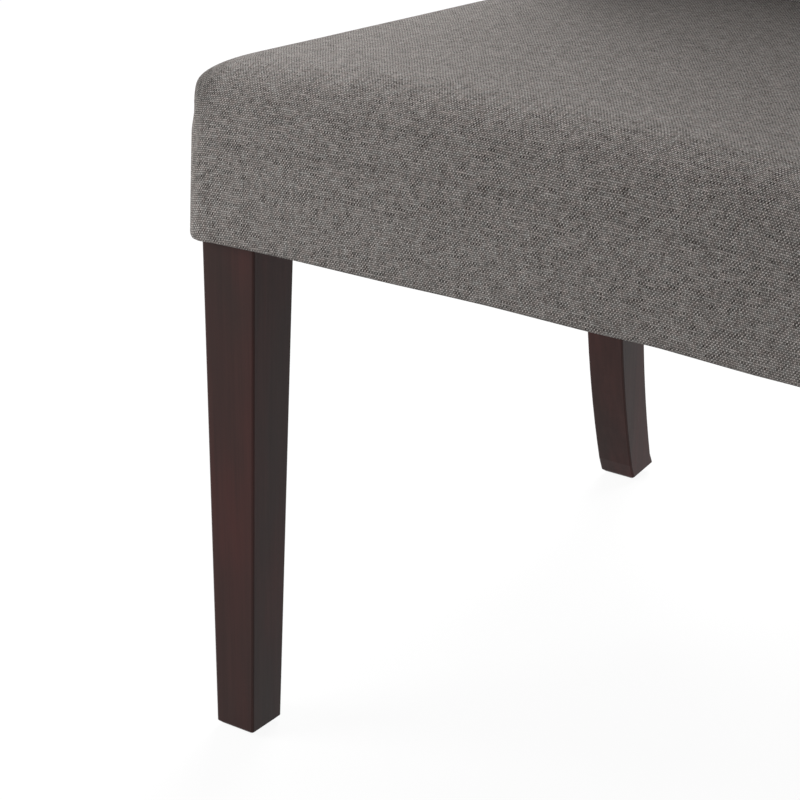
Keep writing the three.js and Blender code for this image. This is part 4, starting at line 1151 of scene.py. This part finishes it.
def spunbond():
    """Black nonwoven cloth: matted fibres pressed together in a fine grid of dots."""
    dot_pitch = 0.0022
    material, tree, shader = finish("spunbond", {"Roughness": 0.85, "Specular IOR Level": 0.25})
    threads = node(tree, "UVMap", uv_map="cloth").outputs[0]
    fibres = cloudy(tree, threads, 900.0, 4.0, 0.7)
    patches = cloudy(tree, threads, 45.0)
    split = node(tree, "SeparateXYZ", {0: threads})
    waves = [maths(tree, "SINE", maths(tree, "MULTIPLY", split.outputs[axis], 2 * np.pi / dot_pitch))
             for axis in ("X", "Y")]
    dots = maths(tree, "GREATER_THAN", maths(tree, "MULTIPLY", *waves), 0.55)
    tone = maths(tree, "MULTIPLY_ADD", patches, 0.6, maths(tree, "MULTIPLY", fibres, 0.6))
    colour = ramp(tree, tone, (0.35, (0.007, 0.007, 0.008)), (0.85, (0.028, 0.028, 0.030)))
    pressed = mix(tree, maths(tree, "MULTIPLY", dots, 0.6), colour, (0.004, 0.004, 0.004, 1))
    relief = maths(tree, "SUBTRACT", fibres, dots)
    coat(tree, shader, pressed, relief=relief, strength=0.5, distance=0.0002)
    return material


dust_cloth = soft_piece("dust_cloth_sheet", *dust_sheet())
finished(walled(dust_cloth, dust_thickness), spunbond(), "dust_cloth", "dust_cloth")


def staples():
    """Flat-wire staples along the hem, clear of the legs: each a crown with rounded shoulders
    and two short legs in the cloth, swept as a four-sided section along that path."""
    crown, leg, bend, wire = 0.010, 0.0012, 0.0006, (0.0011, 0.0005)
    inset = hem_width / 2
    x_run = np.arange(end_staples_from, end_staples_to, staple_pitch * end_pitch_share)
    count = np.arange(-side_staples_each_way, side_staples_each_way + 1)
    y_run = dust_middle_y + count * staple_pitch * side_pitch_share - side_staples_forward
    rows = [(x, y, 0) for y in (dust_front + inset, dust_rear - inset) for x in x_run]
    rows += [(side * (dust_half - inset), y, 1) for side in (-1, 1) for y in y_run]
    place = np.array(rows)
    crooked = np.random.default_rng(7).normal(0, staple_crookedness, len(place))
    turn = crooked + place[:, 2] * np.pi / 2
    cos, sin = (wave(np.radians([0, 30, 60, 90])) for wave in (np.cos, np.sin))
    reach = crown / 2 - bend
    along = np.array([-crown / 2, *(-reach - bend * cos), *(reach + bend * sin), crown / 2])
    down = np.array([leg, *(bend - bend * sin), *(bend - bend * cos), leg])
    normal_along = np.array([-1, *-cos, *sin, 1])
    normal_down = np.array([0, *-sin, *-cos, 0])
    section = np.array([(-0.5, 0), (0.5, 0), (0.5, 1), (-0.5, 1)]) * wire
    s = along[:, None] + normal_along[:, None] * section[None, :, 1]
    d = down[:, None] + normal_down[:, None] * section[None, :, 1]
    w = np.repeat(section[None, :, 0], len(along), axis=0)
    ring = once_round(np.arange(s.size).reshape(s.shape))
    faces = np.concatenate([quads(ring), [ring[0, 3::-1]], [ring[-1, :4]]])
    cos, sin = np.cos(turn)[:, None, None], np.sin(turn)[:, None, None]
    x = place[:, 0, None, None] + cos * s - sin * w
    y = place[:, 1, None, None] + sin * s + cos * w
    z = dust_top - staple_drop + np.repeat(d[None], len(place), axis=0)
    points = np.stack([x, y, z], axis=-1).reshape(-1, 3)
    faces = (faces[None] + (np.arange(len(place)) * s.size)[:, None, None]).reshape(-1, 4)
    return soft_piece("dust_cloth_staples", points, faces)


finished(staples(), zinc, "zinc_steel")


# Glides
# Plastic discs with a nail, driven into the middle of each foot and scuffed where they slide.
# The rear ones are thicker.

def nylon():
    """Dark moulded plastic, scuffed at random by the floor."""
    material, tree, shader = finish("nylon", {"Specular IOR Level": 0.4})
    scuffs = cloudy(tree, object_place(tree, (500, 500, 500)), 1.0, 4.0, 0.7)
    colour = ramp(tree, scuffs, (0.4, (0.014, 0.013, 0.012)), (0.75, (0.05, 0.048, 0.045)))
    coat(tree, shader, colour, maths(tree, "MULTIPLY_ADD", scuffs, 0.35, 0.3))
    return material


refinish(nylon(), *(f"glide_{corner}" for corner in four_corners))


# Studio
# A white floor that keeps a faint shadow, soft lamps, and the camera where the photographer
# stood: above the seat, in front of its right side, looking down.

floor_half = 12.0
floor_glow = 1.08
floor_glow_share = 0.86
world_light = 0.25
lamps = (
    ("lamp_above", (-0.1, 1.0, 2.4), 1.2, 36.0),
    ("lamp_behind", (-0.9, 1.6, 1.8), 1.0, 33.0),
    ("lamp_in_front", (-1.7, -1.5, 1.0), 1.2, 40.0),
)
lamps_face = Vector((0, -0.1, 0.45))


def background_seen(tree):
    """1 for the rays by which the camera, gloss and glass see the background, else 0."""
    rays = node(tree, "LightPath").outputs
    return maths(tree, "MAXIMUM", rays["Is Camera Ray"],
                 maths(tree, "MAXIMUM", rays["Is Glossy Ray"], rays["Is Transmission Ray"]))


def white_floor():
    """A pale floor that is lit mostly by its own glow where it is seen, so it keeps a shadow."""
    mesh = bpy.data.meshes.new("floor")
    places = [(x * floor_half, y * floor_half, 0) for x, y in ((-1, -1), (1, -1), (1, 1), (-1, 1))]
    mesh.from_pydata(places, [], [(0, 1, 2, 3)])
    material, tree, shader = finish("studio_floor", {
        "Base Color": (0.6, 0.6, 0.6, 1), "Roughness": 0.9, "Specular IOR Level": 0.0})
    glow = node(tree, "Emission", {"Color": (1, 1, 1, 1), "Strength": floor_glow})
    share = maths(tree, "MULTIPLY", background_seen(tree), floor_glow_share)
    blended = node(tree, "MixShader", {0: share, 1: shader.outputs[0], 2: glow.outputs[0]})
    tree.links.new(blended.outputs[0], tree.nodes["Material Output"].inputs["Surface"])
    mesh.materials.append(material)
    return new_object("floor", mesh)


floor = white_floor()

for name, place, size, watts in lamps:
    light = bpy.data.lights.new(name, "AREA")
    light.size = size
    light.energy = watts
    lamp = new_object(name, light)
    lamp.location = place
    lamp.rotation_euler = (lamps_face - Vector(place)).to_track_quat("-Z", "Y").to_euler()

# The world is white where it is seen, and lights the chair at a quarter of that.
world = bpy.data.worlds.new("studio")
bpy.context.scene.world = world
world.use_nodes = True
tree = world.node_tree
strength = maths(tree, "MULTIPLY_ADD", background_seen(tree), 1 - world_light, world_light)
tree.links.new(strength, tree.nodes["Background"].inputs["Strength"])
tree.nodes["Background"].inputs["Color"].default_value = (1, 1, 1, 1)

leg_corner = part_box("front_leg_left")[0]
camera_from_corner = (1.0057, -1.1913, 0.9061)
camera_turn = 35.4466
camera_dip = 23.0268
camera_data = bpy.data.cameras.new("camera")
camera_data.sensor_width = 36.0
camera_data.lens = 114.303
camera = new_object("camera", camera_data)
camera.location = [a + b for a, b in zip(leg_corner, camera_from_corner)]
camera.rotation_euler = (np.radians(90 - camera_dip), 0, np.radians(camera_turn))
bpy.context.scene.camera = camera
bpy.context.scene.view_settings.view_transform = "Standard"
